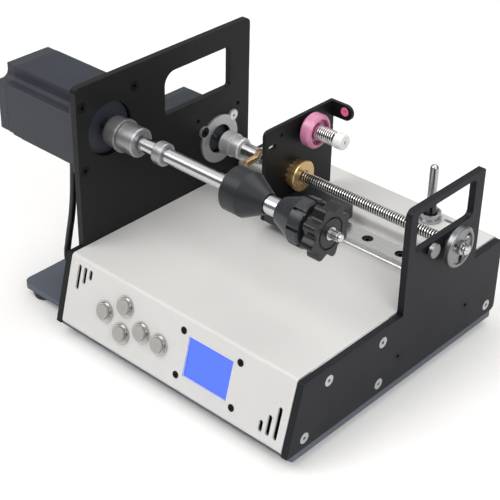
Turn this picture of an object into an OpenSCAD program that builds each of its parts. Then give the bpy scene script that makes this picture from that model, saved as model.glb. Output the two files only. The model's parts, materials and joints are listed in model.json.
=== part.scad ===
// Spooling machine for fishing line. A motor spindle turns the spool between two
// cones, while a lead screw moves the carriage that lays the line across it.
// X runs along the spindle, Y to the back and Z up, in millimetres.
// Every place is written from the left plate's inner face (X), the plates' front
// corner (Y) and their bottom edge (Z). set_down() then moves the whole machine so
// that its origin lies under the middle of its bounding box, at the feet.

/* [Side plates] */
// Clear width between the side plates
inner_w = 205; // [200:1:230]
// Thickness of both side plates
plate_t = 5; // [4:0.5:6]
// Depth of the plates along their bottom edge
depth = 226.5; // [225:0.5:245]
// Height of the plates' low front part
nose_h = 51.4; // [50:0.2:56]
// Run of the sloped front over that height
nose_run = 13.8; // [11:0.2:16]
// Height of the left plate
tall_h = 172; // [168:1:190]
// Where the left plate's tall part starts
tall_front = 24.4; // [20:0.2:24.8]
// Where both tall parts end
tall_back = 192.6; // [192:0.2:198]
// Height of the right plate's frame
right_h = 129; // [126:0.5:140]
// Where the right plate's frame starts
right_front = 112.2; // [108:0.2:114]
// Radius of the plates' outer corners
plate_r = 4; // [2:0.5:6]

/* [Plate windows] */
// Front edge of the grip window in the left plate
grip_front = 105.5; // [100:0.5:115]
// Length of the grip window
grip_w = 66.7; // [60:0.1:72]
// Height of the grip window
grip_h = 32; // [26:0.5:34]
// Bar left above the grip window
grip_bar = 16; // [12:0.5:20]
// Large corner radius of the grip window
grip_r = 10; // [6:0.5:12]
// Front post of the right frame
frame_post = 7; // [6:0.2:9]
// Rear post of the right frame
frame_back_post = 9.8; // [8:0.2:13]
// Top bar of the right frame
frame_bar = 4.4; // [4:0.1:6]
// Height of the right frame's window
frame_win_h = 28.3; // [24:0.1:29]

/* [Cover and base] */
// Thickness of the cover sheet
sheet_t = 1.5; // [1.2:0.1:2]
// How far the cover's top stands above the plates' low edge
cover_lift = 0.8; // [0.4:0.1:1.5]
// Where the raised rear ledge starts
ledge_y = 182; // [180:0.5:184]
// Rise of the rear ledge above the cover's top
ledge_lift = 7.3; // [6:0.1:8]
// Thickness of the base plate
base_t = 5; // [4:0.5:8]
// Reach of the shelf under the motors, from the left plate's inner face
shelf_reach = 61; // [55:1:80]
// Front edge of the shelf
shelf_front = 16; // [14:0.5:20]
// Front edge of the base plate between the plates
base_front = 5; // [3:0.5:7]
// Gap between the shelf's rear edge and the plates' rear edge
base_rear_inset = 12; // [8:0.5:16]
// The same gap for the base plate between the plates
base_back_gap = 3; // [2:0.5:6]
// Height of a rubber foot
foot_h = 6.5; // [5:0.5:12]
// Top radius of a rubber foot
foot_r = 9; // [8:0.5:12]

/* [Spindle] */
// Spindle axis, from the plates' front corner
spindle_y = 53.5; // [53:0.1:60]
// Spindle axis, above the plates' bottom edge
spindle_h = 133.3; // [131:0.1:138]
// Width of the square spindle motor
motor_w = 56.4; // [56:0.2:57.6]
// Length of the spindle motor without its pilot
motor_len = 78; // [70:1:100]
// Radius of the spindle shaft
shaft_r = 5; // [4.5:0.1:5.5]
// Radius of the shaft's seat between the cones
seat_r = 6.1; // [5.8:0.05:6.4]
// Where the drive cone starts
cone_x = 113.7; // [100:0.1:116]
// Largest radius of the drive cone
cone_r = 15.2; // [13:0.1:18]
// Gap between the two cones at rest
cone_gap = 10.7; // [10.2:0.1:14]
// Radius of the tail cone over its pads
tail_r = 16; // [15:0.1:17]
// Radius of the star knob over its lobes
star_r = 18.4; // [17.5:0.1:20]
// Depth of the hollows between the knob's lobes
star_wave = 4.4; // [3:0.1:5]
// Number of lobes on the star knob
star_lobes = 8; // [6:1:10]

/* [Traverse] */
// Lead screw axis, from the plates' front corner
screw_y = 159.5; // [158.5:0.1:160.5]
// Lead screw axis above the cover's top
screw_rise = 33.8; // [33:0.1:35]
// Radius of the lead screw
screw_r = 4; // [3.8:0.05:4.2]
// Width of the square traverse motor
small_motor_w = 40; // [39:0.1:43]
// Length of the traverse motor without its pilot
small_motor_len = 46; // [34:0.5:60]
// Radius of the handwheel
wheel_r = 14.6; // [14:0.1:16]
// Width of the handwheel's rim
wheel_w = 5; // [4:0.2:6]

/* [Carriage] */
// Where the carriage plate stands at rest (its right face)
carriage_x = 75; // [70:0.5:80]
// Thickness of the carriage plate
carriage_t = 3; // [2.5:0.1:3.5]
// Front edge of the carriage plate
carriage_front = 127.3; // [124:0.1:130]
// Rear edge of the carriage plate, where its ear bends off
carriage_back = 201; // [200.4:0.1:201.4]
// Height of the carriage plate's top above the cover's top
carriage_top = 77; // [74:0.5:82]
// Length of the saddle along the rail
saddle_len = 42; // [40:0.5:46]
// Width of the rail
rail_w = 16; // [15:0.1:17]
// Height of the rail
rail_h = 6.4; // [6:0.1:6.8]
// Distance between the rail's screw holes
rail_pitch = 28.5; // [24:0.5:32]
// Radius of the pink tension disc
disc_r = 12.7; // [11:0.1:14]

/* [Supply post] */
// Post axis, from the left plate's inner face
post_x = 157.6; // [150:0.1:175]
// Post axis, from the plates' rear edge
post_inset = 14.5; // [12.5:0.1:15]
// Radius of the post's rod
post_r = 3.2; // [3:0.1:4]
// Height of the post above the ledge
post_h = 43.9; // [35:0.1:55]

/* [Panel] */
// Centre of the four arrow buttons, along X
pad_x = 57.4; // [55:0.1:62]
// Centre of the buttons, up the slope
pad_s = 26.9; // [26:0.1:30]
// Distance of the side buttons from that centre
pad_dx = 17.7; // [17.2:0.1:18.5]
// Distance of the upper button from that centre
pad_up = 11.2; // [10:0.1:11.6]
// Distance of the lower button from that centre
pad_down = 8.7; // [8.4:0.1:10.2]
// Distance of the start button from that centre
start_dx = 34.6; // [34.4:0.1:36]
// How far the start button lies below that centre
start_drop = 1.2; // [0:0.1:2]
// Outer radius of a button's flange
button_r = 7.6; // [7:0.1:8]
// Radius of a button's cap
cap_r = 5.2; // [4.8:0.1:5.2]
// Travel of a button
button_travel = 1.5; // [1:0.1:1.6]
// Centre of the display, along X
display_x = 135.2; // [133:0.1:138]
// Centre of the display, up the slope
display_s = 28.3; // [27:0.1:29]
// Width of the display window
window_w = 38.8; // [34:0.2:40]
// Height of the display window
window_h = 28.7; // [24:0.1:30]

/* [Hidden] */

// Radial clearance of running fits and of pieces seated in one another
fit = 0.06;
// Clearance round screws in their holes
screw_fit = 0.1;
// How far a cut runs past the face that it opens
over = 1;
// Smoothness of turned surfaces
fine = 64;
// Smoothness of screws and small holes
small = 32;
// Points on each rounded corner of an outline
arc_steps = 8;

// Heights and places that several pieces share
cover_h = nose_h + cover_lift;
ledge_h = cover_h + ledge_lift;
plate_drop = 1.5;
rear_low_h = ledge_h - plate_drop;
screw_h = cover_h + screw_rise;
right_x = inner_w;
outer_x = inner_w + plate_t;
slope_a = atan(nose_run / nose_h);
rail_offset = 2;
rail_y = screw_y + rail_offset;
edge_gap = 0.5;
rail_left = 15;
rail_right = inner_w - edge_gap;
rail_end_inset = 6;

// Spindle motor
cap_len = 9.3;
motor_flat = 37;
motor_fillet = 5;
ear_t = 2.5;
pilot_r = 19.05;
pilot_t = 1.6;
pilot_hole_r = 19.5;
motor_bolt = 47.14;
motor_x = -plate_t - motor_len;
motor_shaft_r = 4;
motor_shaft_in = 24;
bearing_r = 6.4;
bearing_w = 5;

// Traverse motor
small_cap_len = 6.5;
small_chamfer = 5;
small_pilot_r = 11;
small_pilot_hole_r = 11.2;
small_shaft_r = 2.5;
small_shaft_in = 20;
small_shaft_out = 16;
ring_r = 18.9;
ring_bore_r = 11.3;
ring_t = 2;
ring_ear_r = 4.6;
ring_screws = [[-15.7, 11], [14.6, 14.2]];
guide_hole_y = 21.2;
guide_hole_z = 21.3;

// Countersunk and pan-head screws
head_r = 4;
head_t = 2.2;
shank_r = 2;
socket_r = 1.4;
socket_t = 1.5;
screw_len = 14;
pan_r = 3;
pan_t = 2;
pan_shank_r = 1.5;

// Tie bars, rods and their screws
bar_w = 8;
bar_h = 8;
lower_bar_h = 14;
front_bar_y = 16.4;
mid_bar_y = 91;
rear_bar_inset = 10.8;
upper_bar_y = [38.1, 92.4];
upper_bar_drop = 11.4;
upper_bar_z = cover_h - upper_bar_drop;
rod_r = 4;
rod_places = [[110.6, 20], [187.2, 22.6]];
lower_bar_y = [front_bar_y, mid_bar_y, depth - rear_bar_inset];
bar_places = concat([for (y = lower_bar_y) [y, bar_h]], [for (y = upper_bar_y) [y, upper_bar_z]]);
beam_w = 22;
beam_h = 12;
bar_screw_inset = 30;

// Cover
bend_r = 2.2;
lip_w = 6;
flange_t = 1.5;
flange_front = 26;
flange_back = 104;
flange_drop = 7;
flange_low = upper_bar_z - flange_drop;

// Front slots: place along X, lower end and upper end up the slope
slot_w = 3.2;
left_slots = [[9.5, 30.2, 49], [15.2, 36.4, 49], [20.6, 41.4, 49]];
right_slots = [[20, 8, 16.2], [14, 8, 22.6], [7.7, 8, 31.2]];

// Feet
foot_low_r = 7.2;
shelf_r = 6;
foot_inset = 13;
foot_recess_r = 4;
foot_recess = 3;
foot_hole = 3.5;
low_z = -base_t - foot_h;

// Spindle pieces, as places along X
coupling_x = 4;
coupling_end = 30.6;
coupling_split = 15;
hub_r = 10.8;
hub_rim_r = 11.8;
hub_rim = [13, 16];
hub_groove = 17;
hub_groove_r = 9.6;
hub_second_r = 10.3;
hub_edge = 1;
hub_recess_r = 6.6;
collar = [46.5, 54.6];
collar_r = 8;
seat_inset = 6.3;
seat_start = cone_x + seat_inset;
seat_end = 172;
thread_end = 201;
thread_r = 3;
cone_drum = 13.9;
cone_len = 29.8;
cone_tip_r = 7;
cone_edge = 1.2;
cone_end = cone_x + cone_len;
tail_x = cone_end + cone_gap;
tail_tip_r = 9;
tail_taper = 16.6;
tail_len = 25;
tail_step = 0.5;
pad_slot_w = 2;
pad_slot_deep = 2.4;
tail_end = tail_x + tail_len;
star_gap = 0.3;
star_hub_r = 11.5;
star_hub_t = 4;
star_t = 9.1;
star_x = tail_end + star_gap;
star_end = star_x + star_hub_t + star_t;
star_facets = 10;
star_groove_r = 9.8;
star_groove_w = 0.9;
star_edge = 1;
star_turn = 14;
insert_r = 4.3;
insert_proud = 0.6;

// Traverse pieces, as places along X
tc_x = 8;
tc_split = 17.5;
tc_end = 26.5;
tc_r = 9;
tc_groove = 0.8;
tc_groove_r = 7.2;
tc_second_r = 8.2;
journal_r = 5.8;
journal_end = 44.8;
key_x = 42.3;
key_w = 4;
key_back = 3.3;
key_len = 19.8;
key_low = -1.3;
key_t = 4.2;
bushing_r = 7;
bushing_flange_r = 9;
bushing_flange_t = 1.5;
screw_reach = 14;
screw_end = outer_x + screw_reach;
wheel_gap = 4;
wheel_rim = 2.8;
wheel_web = 2;
wheel_hub_r = 4.9;
wheel_hub_len = 5.6;
wheel_face = 4;
wheel_slot = [7.5, 9.3];
wheel_slot_r = 2.3;
spokes = 3;
wheel_turn = 35;
wheel_x = outer_x + wheel_gap;

// Carriage
saddle_rise = 7.3;
saddle_t = 10.5;
saddle_reach = 15.5;
saddle_low = cover_h + saddle_rise;
saddle_high = saddle_low + saddle_t;
saddle_back = rail_y + saddle_reach;
saddle_r = 3;
block_w = 27;
block_len = 36;
block_rise = 1.8;
block_h = 9.5;
block_low = cover_h + block_rise;
block_high = block_low + block_h;
block_gap = 3;
plate_clear = 2.3;
ledge_clear = 4;
plate_step_y = ledge_y - ledge_clear;
ear_reach = 18.3;
ear_h = 11.7;
ear_r = 5.8;
eyelet_x = 12;
eyelet_drop = 5;
eyelet_r = 3.4;
eyelet_bore_r = 1.3;
eyelet_lip = 0.5;
carriage_left = carriage_x - carriage_t;
nut_flange_r = 11.7;
nut_flange_t = 3;
nut_body_r = 10.2;
nut_body_len = 5.5;
nut_spigot_r = 6;
nut_bore_r = screw_r + fit;
nut_slots = 16;
nut_slot_w = 1.8;
nut_slot_floor = 8.7;
nut_slot_len = 4.8;
small_hole_r = 1.6;
hole_y = 143.9;
hole_rise = 69.3;
hole_z = cover_h + hole_rise;
adjust_slot_y = [130.6, 138.6];
adjust_slot_rise = 63.3;
adjust_slot_z = cover_h + adjust_slot_rise;
adjust_slot_r = 1.7;

// Tension unit on the carriage plate
stud_y = 171;
stud_rise = 65.8;
stud_z = cover_h + stud_rise;
stud_r = 2.5;
stud_len = 32;
disc_x = 2.5;
disc_w = 10;
disc_edge = 2;
disc_dish_r = 9.7;
disc_dish_floor_r = 8.6;
disc_dish = 3.4;
disc_hub_r = 5.8;
disc_hub_back = 1;
spring_x = 11.8;
spring_len = 15;
spring_r = 5;
spring_wire_r = 0.45;
spring_turns = 8;
knob_x = 27.2;
knob_len = 7.3;
knob_r = 5.8;
knob_edge = 0.6;
knob_hole_r = 1.2;

// Supply post
post_y = depth - post_inset;
post_base_r = 8.9;
post_base_step = 2.2;
post_base_h = 6.4;
post_neck_r = 8.1;
post_waist_r = 7.4;
post_lip = 1.6;
post_recess_r = 6.6;
post_recess = 1.4;
seat_flare_r = 5.5;
seat_flare_h = 7.5;
seat_top_r = 3.9;
post_gap = 0.3;
post_spigot = 14;
post_spigot_r = 5;
slot_x = [166, 173];
slot_inset = 8;
slot_y = depth - slot_inset;

// Thumb screw on the right plate
thumb_dy = -24;
thumb_dz = 6.5;
thumb_r = 5.1;
thumb_head = 3.4;
thumb_neck = 1.6;
thumb_neck_r = 2.2;
thumb_shank_r = 1.9;

// Panel pieces, measured outward from the cover's face
flange_h = 1.3;
ring_top_r = 6.4;
ring_top_h = 2.4;
barrel_r = 5.8;
barrel_hole_r = 6;
barrel_len = 5;
well_floor = -1.4;
cap_t = 3.8;
cap_gap = 0.1;
cap_low = well_floor + button_travel + cap_gap;
stem_r = 2.4;
stem_low = -5.2;
nut_r = 7.6;
nut_h = 2.5;
glass_t = 2.5;
glass_margin = 2;
board_w = 58;
board_l = 37;
board_t = 1.6;
board_gap = 5;
display_bolt_w = 49.6;
display_bolt_h = 32.3;
bolt_r = 1.25;
bolt_head_r = 2.6;
bolt_socket_r = 1;
bolt_head_t = 1.3;
bolt_len = 9;
spacer_r = 2.4;

// Electronics in the base
main_board = [85, 50];
main_board_inset = 15;
main_board_x = inner_w - main_board_inset - main_board[0];
main_board_y = 30;
standoff_h = 8;
standoff_r = 3;
standoff_inset = 4;
driver_x = 24;
driver_1 = [64, 48, 26];
driver_1_y = 30;
driver_2 = [48, 42, 22];
driver_2_y = 126;
fin_w = 2;
fin_deep = 4;
chip = [14, 14, 2];
chip_place = [25, 18];
plug = [8, 24, 9];

// Back panel pieces
inlet_x = 40;
inlet_z = 30;
inlet_r = 4;
inlet_flange_r = 6.5;
inlet_flange_t = 1.4;
inlet_len = 12;
inlet_bore_r = 2.8;
inlet_pin_r = 1;
inlet_wall = 3;
switch_x = 70;
switch_w = 19;
switch_h = 13;
bezel_w = 21;
bezel_h = 15;
bezel_t = 1.5;
switch_deep = 12;
rocker_w = 14;
rocker_r = 6.4;
rocker_in = 4;
rocker_half = 4.6;
rocker_back = 1;
rocker_pin_r = 1;
rocker_pin = 1.2;
cavity_half = 5.9;

// Route of each motor lead, from the motor down to the shelf and through the plate
lead_r = 2.5;
lead_sides = 10;
lead_hole_z = 8;
spindle_lead_y = 47;
traverse_lead_y = 150;
spindle_lead = [[-33, 105.1], [-33, 97], [-34, 83], [-35.5, 68], [-38, 53], [-41.2, 39], [-44.2, 26], [-46, 16],
    [-45.2, 9.8], [-41.8, 5.6], [-36, 4], [-27, 4.6], [-17, 7], [-9, 8], [24, 8]];
traverse_lead = [[-38, 64.85], [-38, 56], [-39, 44], [-40.5, 32], [-40.5, 20], [-39.2, 12], [-35.4, 6.6], [-29, 4.3],
    [-20, 6], [-9, 8], [24, 8]];
grommet_r = 4.4;
grommet_flange_r = 5.8;
grommet_t = 1.2;

// The machine's box, which places the origin
mid_x = (motor_x + screw_end) / 2;
mid_y = (depth + rocker_r - rocker_in) / 2;

module set_down() translate([-mid_x, -mid_y, -low_z]) children();

// Outline and path helpers
function unit(v) = v / norm(v);

// The points that round the corner b between a and c
function corner(a, b, c, r) = r == 0 ? [b] :
    let (u = unit(a - b), v = unit(c - b), half = acos(u * v) / 2, run = r / tan(half),
        middle = b + unit(u + v) * r / sin(half), p = b + u * run - middle, q = b + v * run - middle,
        turn = 180 - half * 2)
    [for (i = [0 : arc_steps]) let (k = i / arc_steps)
        middle + (p * sin((1 - k) * turn) + q * sin(k * turn)) / sin(turn)];

function rounded(pts, radii) = [for (i = [0 : len(pts) - 1])
    each corner(pts[(i + len(pts) - 1) % len(pts)], pts[i], pts[(i + 1) % len(pts)], radii[i])];

function rounded_path(pts, r) = [for (i = [0 : len(pts) - 1])
    each (i == 0 || i == len(pts) - 1 ? [pts[i]] : corner(pts[i - 1], pts[i], pts[i + 1], r))];

function beside(path, i, d) =
    let (t = unit(path[min(i + 1, len(path) - 1)] - path[max(i - 1, 0)])) path[i] + [-t[1], t[0]] * d;

// The outline of a sheet of thickness t bent along a path
function strip(path, t) = concat([for (i = [0 : len(path) - 1]) beside(path, i, t / 2)],
    [for (i = [len(path) - 1 : -1 : 0]) beside(path, i, -t / 2)]);

// Places an outline drawn in Y and Z, from x0 to x1
module slab_x(x0, x1) translate([x0, 0, 0]) rotate([90, 0, 90]) linear_extrude(x1 - x0) children();

// A round bar along X
module rod_x(x0, x1, r, y, z, sides = fine) translate([x0, y, z]) rotate([0, 90, 0])
    cylinder(h = x1 - x0, r = r, $fn = sides);

// Turns a profile of [radius, place along X] about an axis along X
module turned_x(y, z) translate([0, y, z]) rotate([0, 90, 0]) rotate_extrude($fn = fine) children();

module block(low, high) translate(low) cube(high - low);

// Faces children outward from a plate's face at (y, z): side 1 looks along +X, side -1 along -X
module on_face(x, y, z, side) translate([x, y, z]) rotate([0, 90 * side, 0]) children();

// Faces children outward from the sloped panel, at x and at s up the slope
module on_slope(x, s) translate([x, s * sin(slope_a), s * cos(slope_a)]) rotate([90 - slope_a, 0, 0]) children();

// Faces children outward from the back panel
module on_back(x, z) translate([x, depth, z]) rotate([-90, 0, 0]) children();

// A countersunk socket screw, its head's top at 0, pointing down
module csk_screw(length) difference() {
    union() {
        translate([0, 0, -head_t]) cylinder(h = head_t, r1 = shank_r, r2 = head_r, $fn = small);
        translate([0, 0, -length]) cylinder(h = length - head_t / 2, r = shank_r, $fn = small);
    }
    translate([0, 0, -socket_t]) cylinder(h = socket_t + over, r = socket_r, $fn = 6);
}

// The hole for it, with clearance, through to the given depth
module csk_hole(length) {
    translate([0, 0, -head_t - screw_fit])
        cylinder(h = head_t + screw_fit * 2, r1 = shank_r, r2 = head_r + screw_fit * 2, $fn = small);
    translate([0, 0, -length]) cylinder(h = length + over, r = shank_r + screw_fit, $fn = small);
    cylinder(h = over, r = head_r + screw_fit * 2, $fn = small);
}

// A pan-head screw, its head's underside at 0, pointing up
module pan_screw(length) difference() {
    union() {
        translate([0, 0, -pan_t]) cylinder(h = pan_t, r = pan_r, $fn = small);
        translate([0, 0, -over]) cylinder(h = length + over, r = pan_shank_r, $fn = small);
    }
    translate([0, 0, -pan_t - over]) cylinder(h = socket_t / 2 + over, r = socket_r, $fn = 6);
}

// A slot with round ends, r wide to each side, from [0, a] to [0, b], cut through t downward
module round_slot(a, b, r, t) translate([0, 0, -t]) {
    translate([0, a + r, 0]) cylinder(h = t + over, r = r, $fn = small);
    translate([0, b - r, 0]) cylinder(h = t + over, r = r, $fn = small);
    translate([-r, a + r, 0]) cube([r * 2, b - a - r * 2, t + over]);
}

module at_pilot_corners(w) for (dy = [-w / 2, w / 2], dz = [-w / 2, w / 2]) translate([0, dy, dz]) children();

foot_places = [for (x = [foot_inset - shelf_reach, outer_x - foot_inset - foot_r],
    y = [shelf_front + foot_r, depth - base_rear_inset - foot_inset]) [x, y]];
board_corners = [for (dx = [standoff_inset, main_board[0] - standoff_inset],
    dy = [standoff_inset, main_board[1] - standoff_inset]) [main_board_x + dx, main_board_y + dy]];
bar_screw_places = [for (x = [bar_screw_inset, inner_w - bar_screw_inset], y = lower_bar_y) [x, y]];
rail_holes = [for (x = [rail_right - rail_end_inset : -rail_pitch : rail_left + head_r * 2]) x];

// Frame
module base_plate() color("#5b5f66") set_down() {
    difference() {
        translate([0, 0, -base_t]) linear_extrude(base_t) polygon(rounded(
            [[-shelf_reach, shelf_front], [-plate_t, shelf_front], [-plate_t, base_front], [outer_x, base_front],
            [outer_x, depth - base_back_gap], [-plate_t, depth - base_back_gap],
            [-plate_t, depth - base_rear_inset], [-shelf_reach, depth - base_rear_inset]],
            [shelf_r, 0, 0, plate_r / 2, plate_r / 2, plate_r / 2, 0, shelf_r]));
        for (p = foot_places) translate([p[0], p[1], -base_t - over])
            cylinder(h = foot_hole + over, r = pan_shank_r + screw_fit, $fn = small);
        for (p = bar_screw_places) translate([p[0], p[1], -base_t - over])
            cylinder(h = base_t + over * 2, r = pan_shank_r + screw_fit, $fn = small);
    }
    for (p = board_corners) translate([p[0], p[1], -base_t / 2])
        cylinder(h = base_t / 2 + standoff_h, r = standoff_r, $fn = small);
}

module rubber_feet() color("#1d1e20") set_down()
    for (p = foot_places) translate([p[0], p[1], low_z]) difference() {
        cylinder(h = foot_h, r1 = foot_low_r, r2 = foot_r, $fn = fine);
        translate([0, 0, -over]) cylinder(h = foot_recess + over, r = foot_recess_r, $fn = small);
        translate([0, 0, -over]) cylinder(h = foot_h + over * 2, r = pan_shank_r + screw_fit, $fn = small);
    }

module base_screws() color("#b9bcc0") set_down() {
    for (p = foot_places) translate([p[0], p[1], low_z + foot_recess]) pan_screw(foot_h - foot_recess + foot_hole - screw_fit);
    for (p = bar_screw_places) translate([p[0], p[1], -base_t]) pan_screw(base_t + bar_h);
}

module plate_holes(x) {
    for (p = bar_places) on_face(x, p[0], p[1], x > 0 ? 1 : -1) csk_hole(plate_t + over);
    for (p = rod_places) on_face(x, p[0], p[1], x > 0 ? 1 : -1) csk_hole(plate_t + over);
}

module left_plate() color("#26282a") set_down() difference() {
    slab_x(-plate_t, 0) difference() {
        polygon(rounded(
            [[0, 0], [nose_run, nose_h], [tall_front, nose_h], [tall_front, tall_h], [tall_back, tall_h],
            [tall_back, rear_low_h], [depth, rear_low_h], [depth, 0]],
            [0, plate_r / 3, 0, plate_r, plate_r, 0, plate_r / 3, plate_r]));
        polygon(rounded(
            [[grip_front, tall_h - grip_bar - grip_h], [grip_front, tall_h - grip_bar],
            [grip_front + grip_w, tall_h - grip_bar], [grip_front + grip_w, tall_h - grip_bar - grip_h]],
            [grip_r / 5, grip_r, grip_r / 2, grip_r / 5]));
    }
    plate_holes(-plate_t);
    rod_x(-plate_t - over, over, pilot_hole_r, spindle_y, spindle_h);
    translate([0, spindle_y, spindle_h]) at_pilot_corners(motor_bolt) on_face(0, 0, 0, 1) csk_hole(plate_t + over);
    rod_x(-plate_t - over, over, small_pilot_hole_r, screw_y, screw_h);
    for (p = ring_screws) rod_x(-plate_t - over, over, shank_r + screw_fit, screw_y + p[0], screw_h + p[1], small);
    for (dy = [-guide_hole_y, guide_hole_y])
        rod_x(-plate_t - over, over, small_hole_r, screw_y + dy, screw_h + guide_hole_z, small);
    for (y = [spindle_lead_y, traverse_lead_y]) rod_x(-plate_t - over, over, grommet_r, y, lead_hole_z, small);
}

module right_plate() color("#404246") set_down() difference() {
    slab_x(right_x, outer_x) difference() {
        polygon(rounded(
            [[0, 0], [nose_run, nose_h], [right_front, nose_h], [right_front, right_h], [tall_back, right_h],
            [tall_back, rear_low_h], [depth, rear_low_h], [depth, 0]],
            [0, plate_r / 3, 0, plate_r * 1.25, plate_r / 2, 0, plate_r / 3, plate_r]));
        polygon(rounded(
            [[right_front + frame_post, right_h - frame_bar - frame_win_h], [right_front + frame_post,
            right_h - frame_bar], [tall_back - frame_back_post, right_h - frame_bar],
            [tall_back - frame_back_post, right_h - frame_bar - frame_win_h]],
            [plate_r / 4, plate_r * 0.75, plate_r * 0.75, plate_r]));
    }
    plate_holes(outer_x);
    rod_x(right_x - over, outer_x + over, bushing_r + fit, screw_y, screw_h);
    rod_x(right_x - over, outer_x + over, thumb_shank_r + fit, screw_y + thumb_dy, screw_h + thumb_dz, small);
}

cover_path = let (h = sheet_t / 2, lean = function (z) h * cos(slope_a) + (z + h * sin(slope_a)) * tan(slope_a))
    rounded_path([[lip_w, h], [lean(h), h], [lean(cover_h - h), cover_h - h], [ledge_y + h, cover_h - h],
    [ledge_y + h, ledge_h - h], [depth - h, ledge_h - h], [depth - h, h], [depth - lip_w, h]], bend_r);

module cover() color("#dcdbd7") set_down() difference() {
    union() {
        slab_x(edge_gap, inner_w - edge_gap) polygon(strip(cover_path, sheet_t));
        for (x = [0, inner_w - flange_t])
            block([x, flange_front, flange_low], [x + flange_t, flange_back, cover_h - sheet_t / 2]);
    }
    for (y = upper_bar_y) rod_x(-over, inner_w + over, shank_r + screw_fit, y, upper_bar_z, small);
    for (s = left_slots) on_slope(s[0], 0) round_slot(s[1], s[2], slot_w / 2, sheet_t + over);
    for (s = right_slots) on_slope(inner_w - s[0], 0) round_slot(s[1], s[2], slot_w / 2, sheet_t + over);
    on_slope(display_x, display_s) translate([-window_w / 2, -window_h / 2, -sheet_t - over])
        cube([window_w, window_h, sheet_t + over * 2]);
    on_slope(display_x, display_s) for (dx = [-display_bolt_w / 2, display_bolt_w / 2],
        dy = [-display_bolt_h / 2, display_bolt_h / 2]) translate([dx, dy, 0]) {
        translate([0, 0, -sheet_t - over]) cylinder(h = sheet_t + over * 2, r = bolt_r + screw_fit, $fn = small);
        translate([0, 0, -bolt_head_t - screw_fit])
            cylinder(h = bolt_head_t + screw_fit * 2, r1 = bolt_r, r2 = bolt_head_r + screw_fit * 2, $fn = small);
    }
    for (b = button_places) on_slope(b[0], b[1]) translate([0, 0, -sheet_t - over])
        cylinder(h = sheet_t + over * 2, r = barrel_hole_r, $fn = small);
    for (x = rail_holes) translate([x, rail_y, cover_h - sheet_t - over])
        cylinder(h = sheet_t + over * 2, r = shank_r + screw_fit, $fn = small);
    translate([post_x, post_y, ledge_h - sheet_t - over])
        cylinder(h = sheet_t + over * 2, r = post_spigot_r + screw_fit, $fn = fine);
    translate([slot_x[0], slot_y, ledge_h]) rotate([0, 0, -90])
        round_slot(0, slot_x[1] - slot_x[0], slot_w / 2, sheet_t + over);
    on_back(inlet_x, inlet_z) translate([0, 0, -sheet_t - over])
        cylinder(h = sheet_t + over * 2, r = inlet_r + screw_fit, $fn = small);
    on_back(switch_x, inlet_z) translate([-switch_w / 2 - screw_fit, -switch_h / 2 - screw_fit, -sheet_t - over])
        cube([switch_w + screw_fit * 2, switch_h + screw_fit * 2, sheet_t + over * 2]);
}

module tie_bars() color("#a9acb0") set_down() {
    for (y = lower_bar_y) difference() {
        block([0, y - bar_w / 2, 0], [inner_w, y + bar_w / 2, lower_bar_h]);
        for (x = [bar_screw_inset, inner_w - bar_screw_inset]) translate([x, y, -over])
            cylinder(h = bar_h + over * 2, r = pan_shank_r + screw_fit, $fn = small);
        rod_x(-over, inner_w + over, shank_r + screw_fit, y, bar_h, small);
    }
    for (y = upper_bar_y) difference() {
        block([flange_t, y - bar_w / 2, upper_bar_z - bar_h / 2],
            [inner_w - flange_t, y + bar_w / 2, upper_bar_z + bar_h / 2]);
        rod_x(-over, inner_w + over, shank_r + screw_fit, y, upper_bar_z, small);
    }
    for (p = rod_places) difference() {
        rod_x(0, inner_w, rod_r, p[0], p[1]);
        rod_x(-over, inner_w + over, shank_r + screw_fit, p[0], p[1], small);
    }
    difference() {
        block([rail_left, rail_y - beam_w / 2, cover_h - sheet_t - beam_h],
            [rail_right, rail_y + beam_w / 2, cover_h - sheet_t]);
        for (x = rail_holes) translate([x, rail_y, cover_h - sheet_t - beam_h - over])
            cylinder(h = beam_h + over * 2, r = shank_r + screw_fit, $fn = small);
    }
}

module plate_screws() color("#c9cbce") set_down() {
    for (p = bar_places) {
        on_face(outer_x, p[0], p[1], 1) csk_screw(screw_len);
        on_face(-plate_t, p[0], p[1], -1) csk_screw(screw_len);
    }
    on_face(ring_t, screw_y + ring_screws[1][0], screw_h + ring_screws[1][1], 1)
        csk_screw(ring_t + plate_t + pan_t);
}

module black_screws() color("#17181a") set_down() {
    for (p = rod_places) {
        on_face(outer_x, p[0], p[1], 1) csk_screw(screw_len);
        on_face(-plate_t, p[0], p[1], -1) csk_screw(screw_len);
    }
    translate([0, spindle_y, spindle_h]) at_pilot_corners(motor_bolt)
        on_face(0, 0, 0, 1) csk_screw(plate_t + ear_t);
    on_face(ring_t, screw_y + ring_screws[0][0], screw_h + ring_screws[0][1], 1)
        csk_screw(ring_t + plate_t + pan_t);
}

// Spindle motor
function notched(w, flat, r) = let (h = w / 2, f = flat / 2) rounded(
    [[f, h], [f, f], [h, f], [h, -f], [f, -f], [f, -h], [-f, -h], [-f, -f], [-h, -f], [-h, f], [-f, f], [-f, h]],
    [0, r, 0, 0, r, 0, 0, r, 0, 0, r, 0]);

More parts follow.
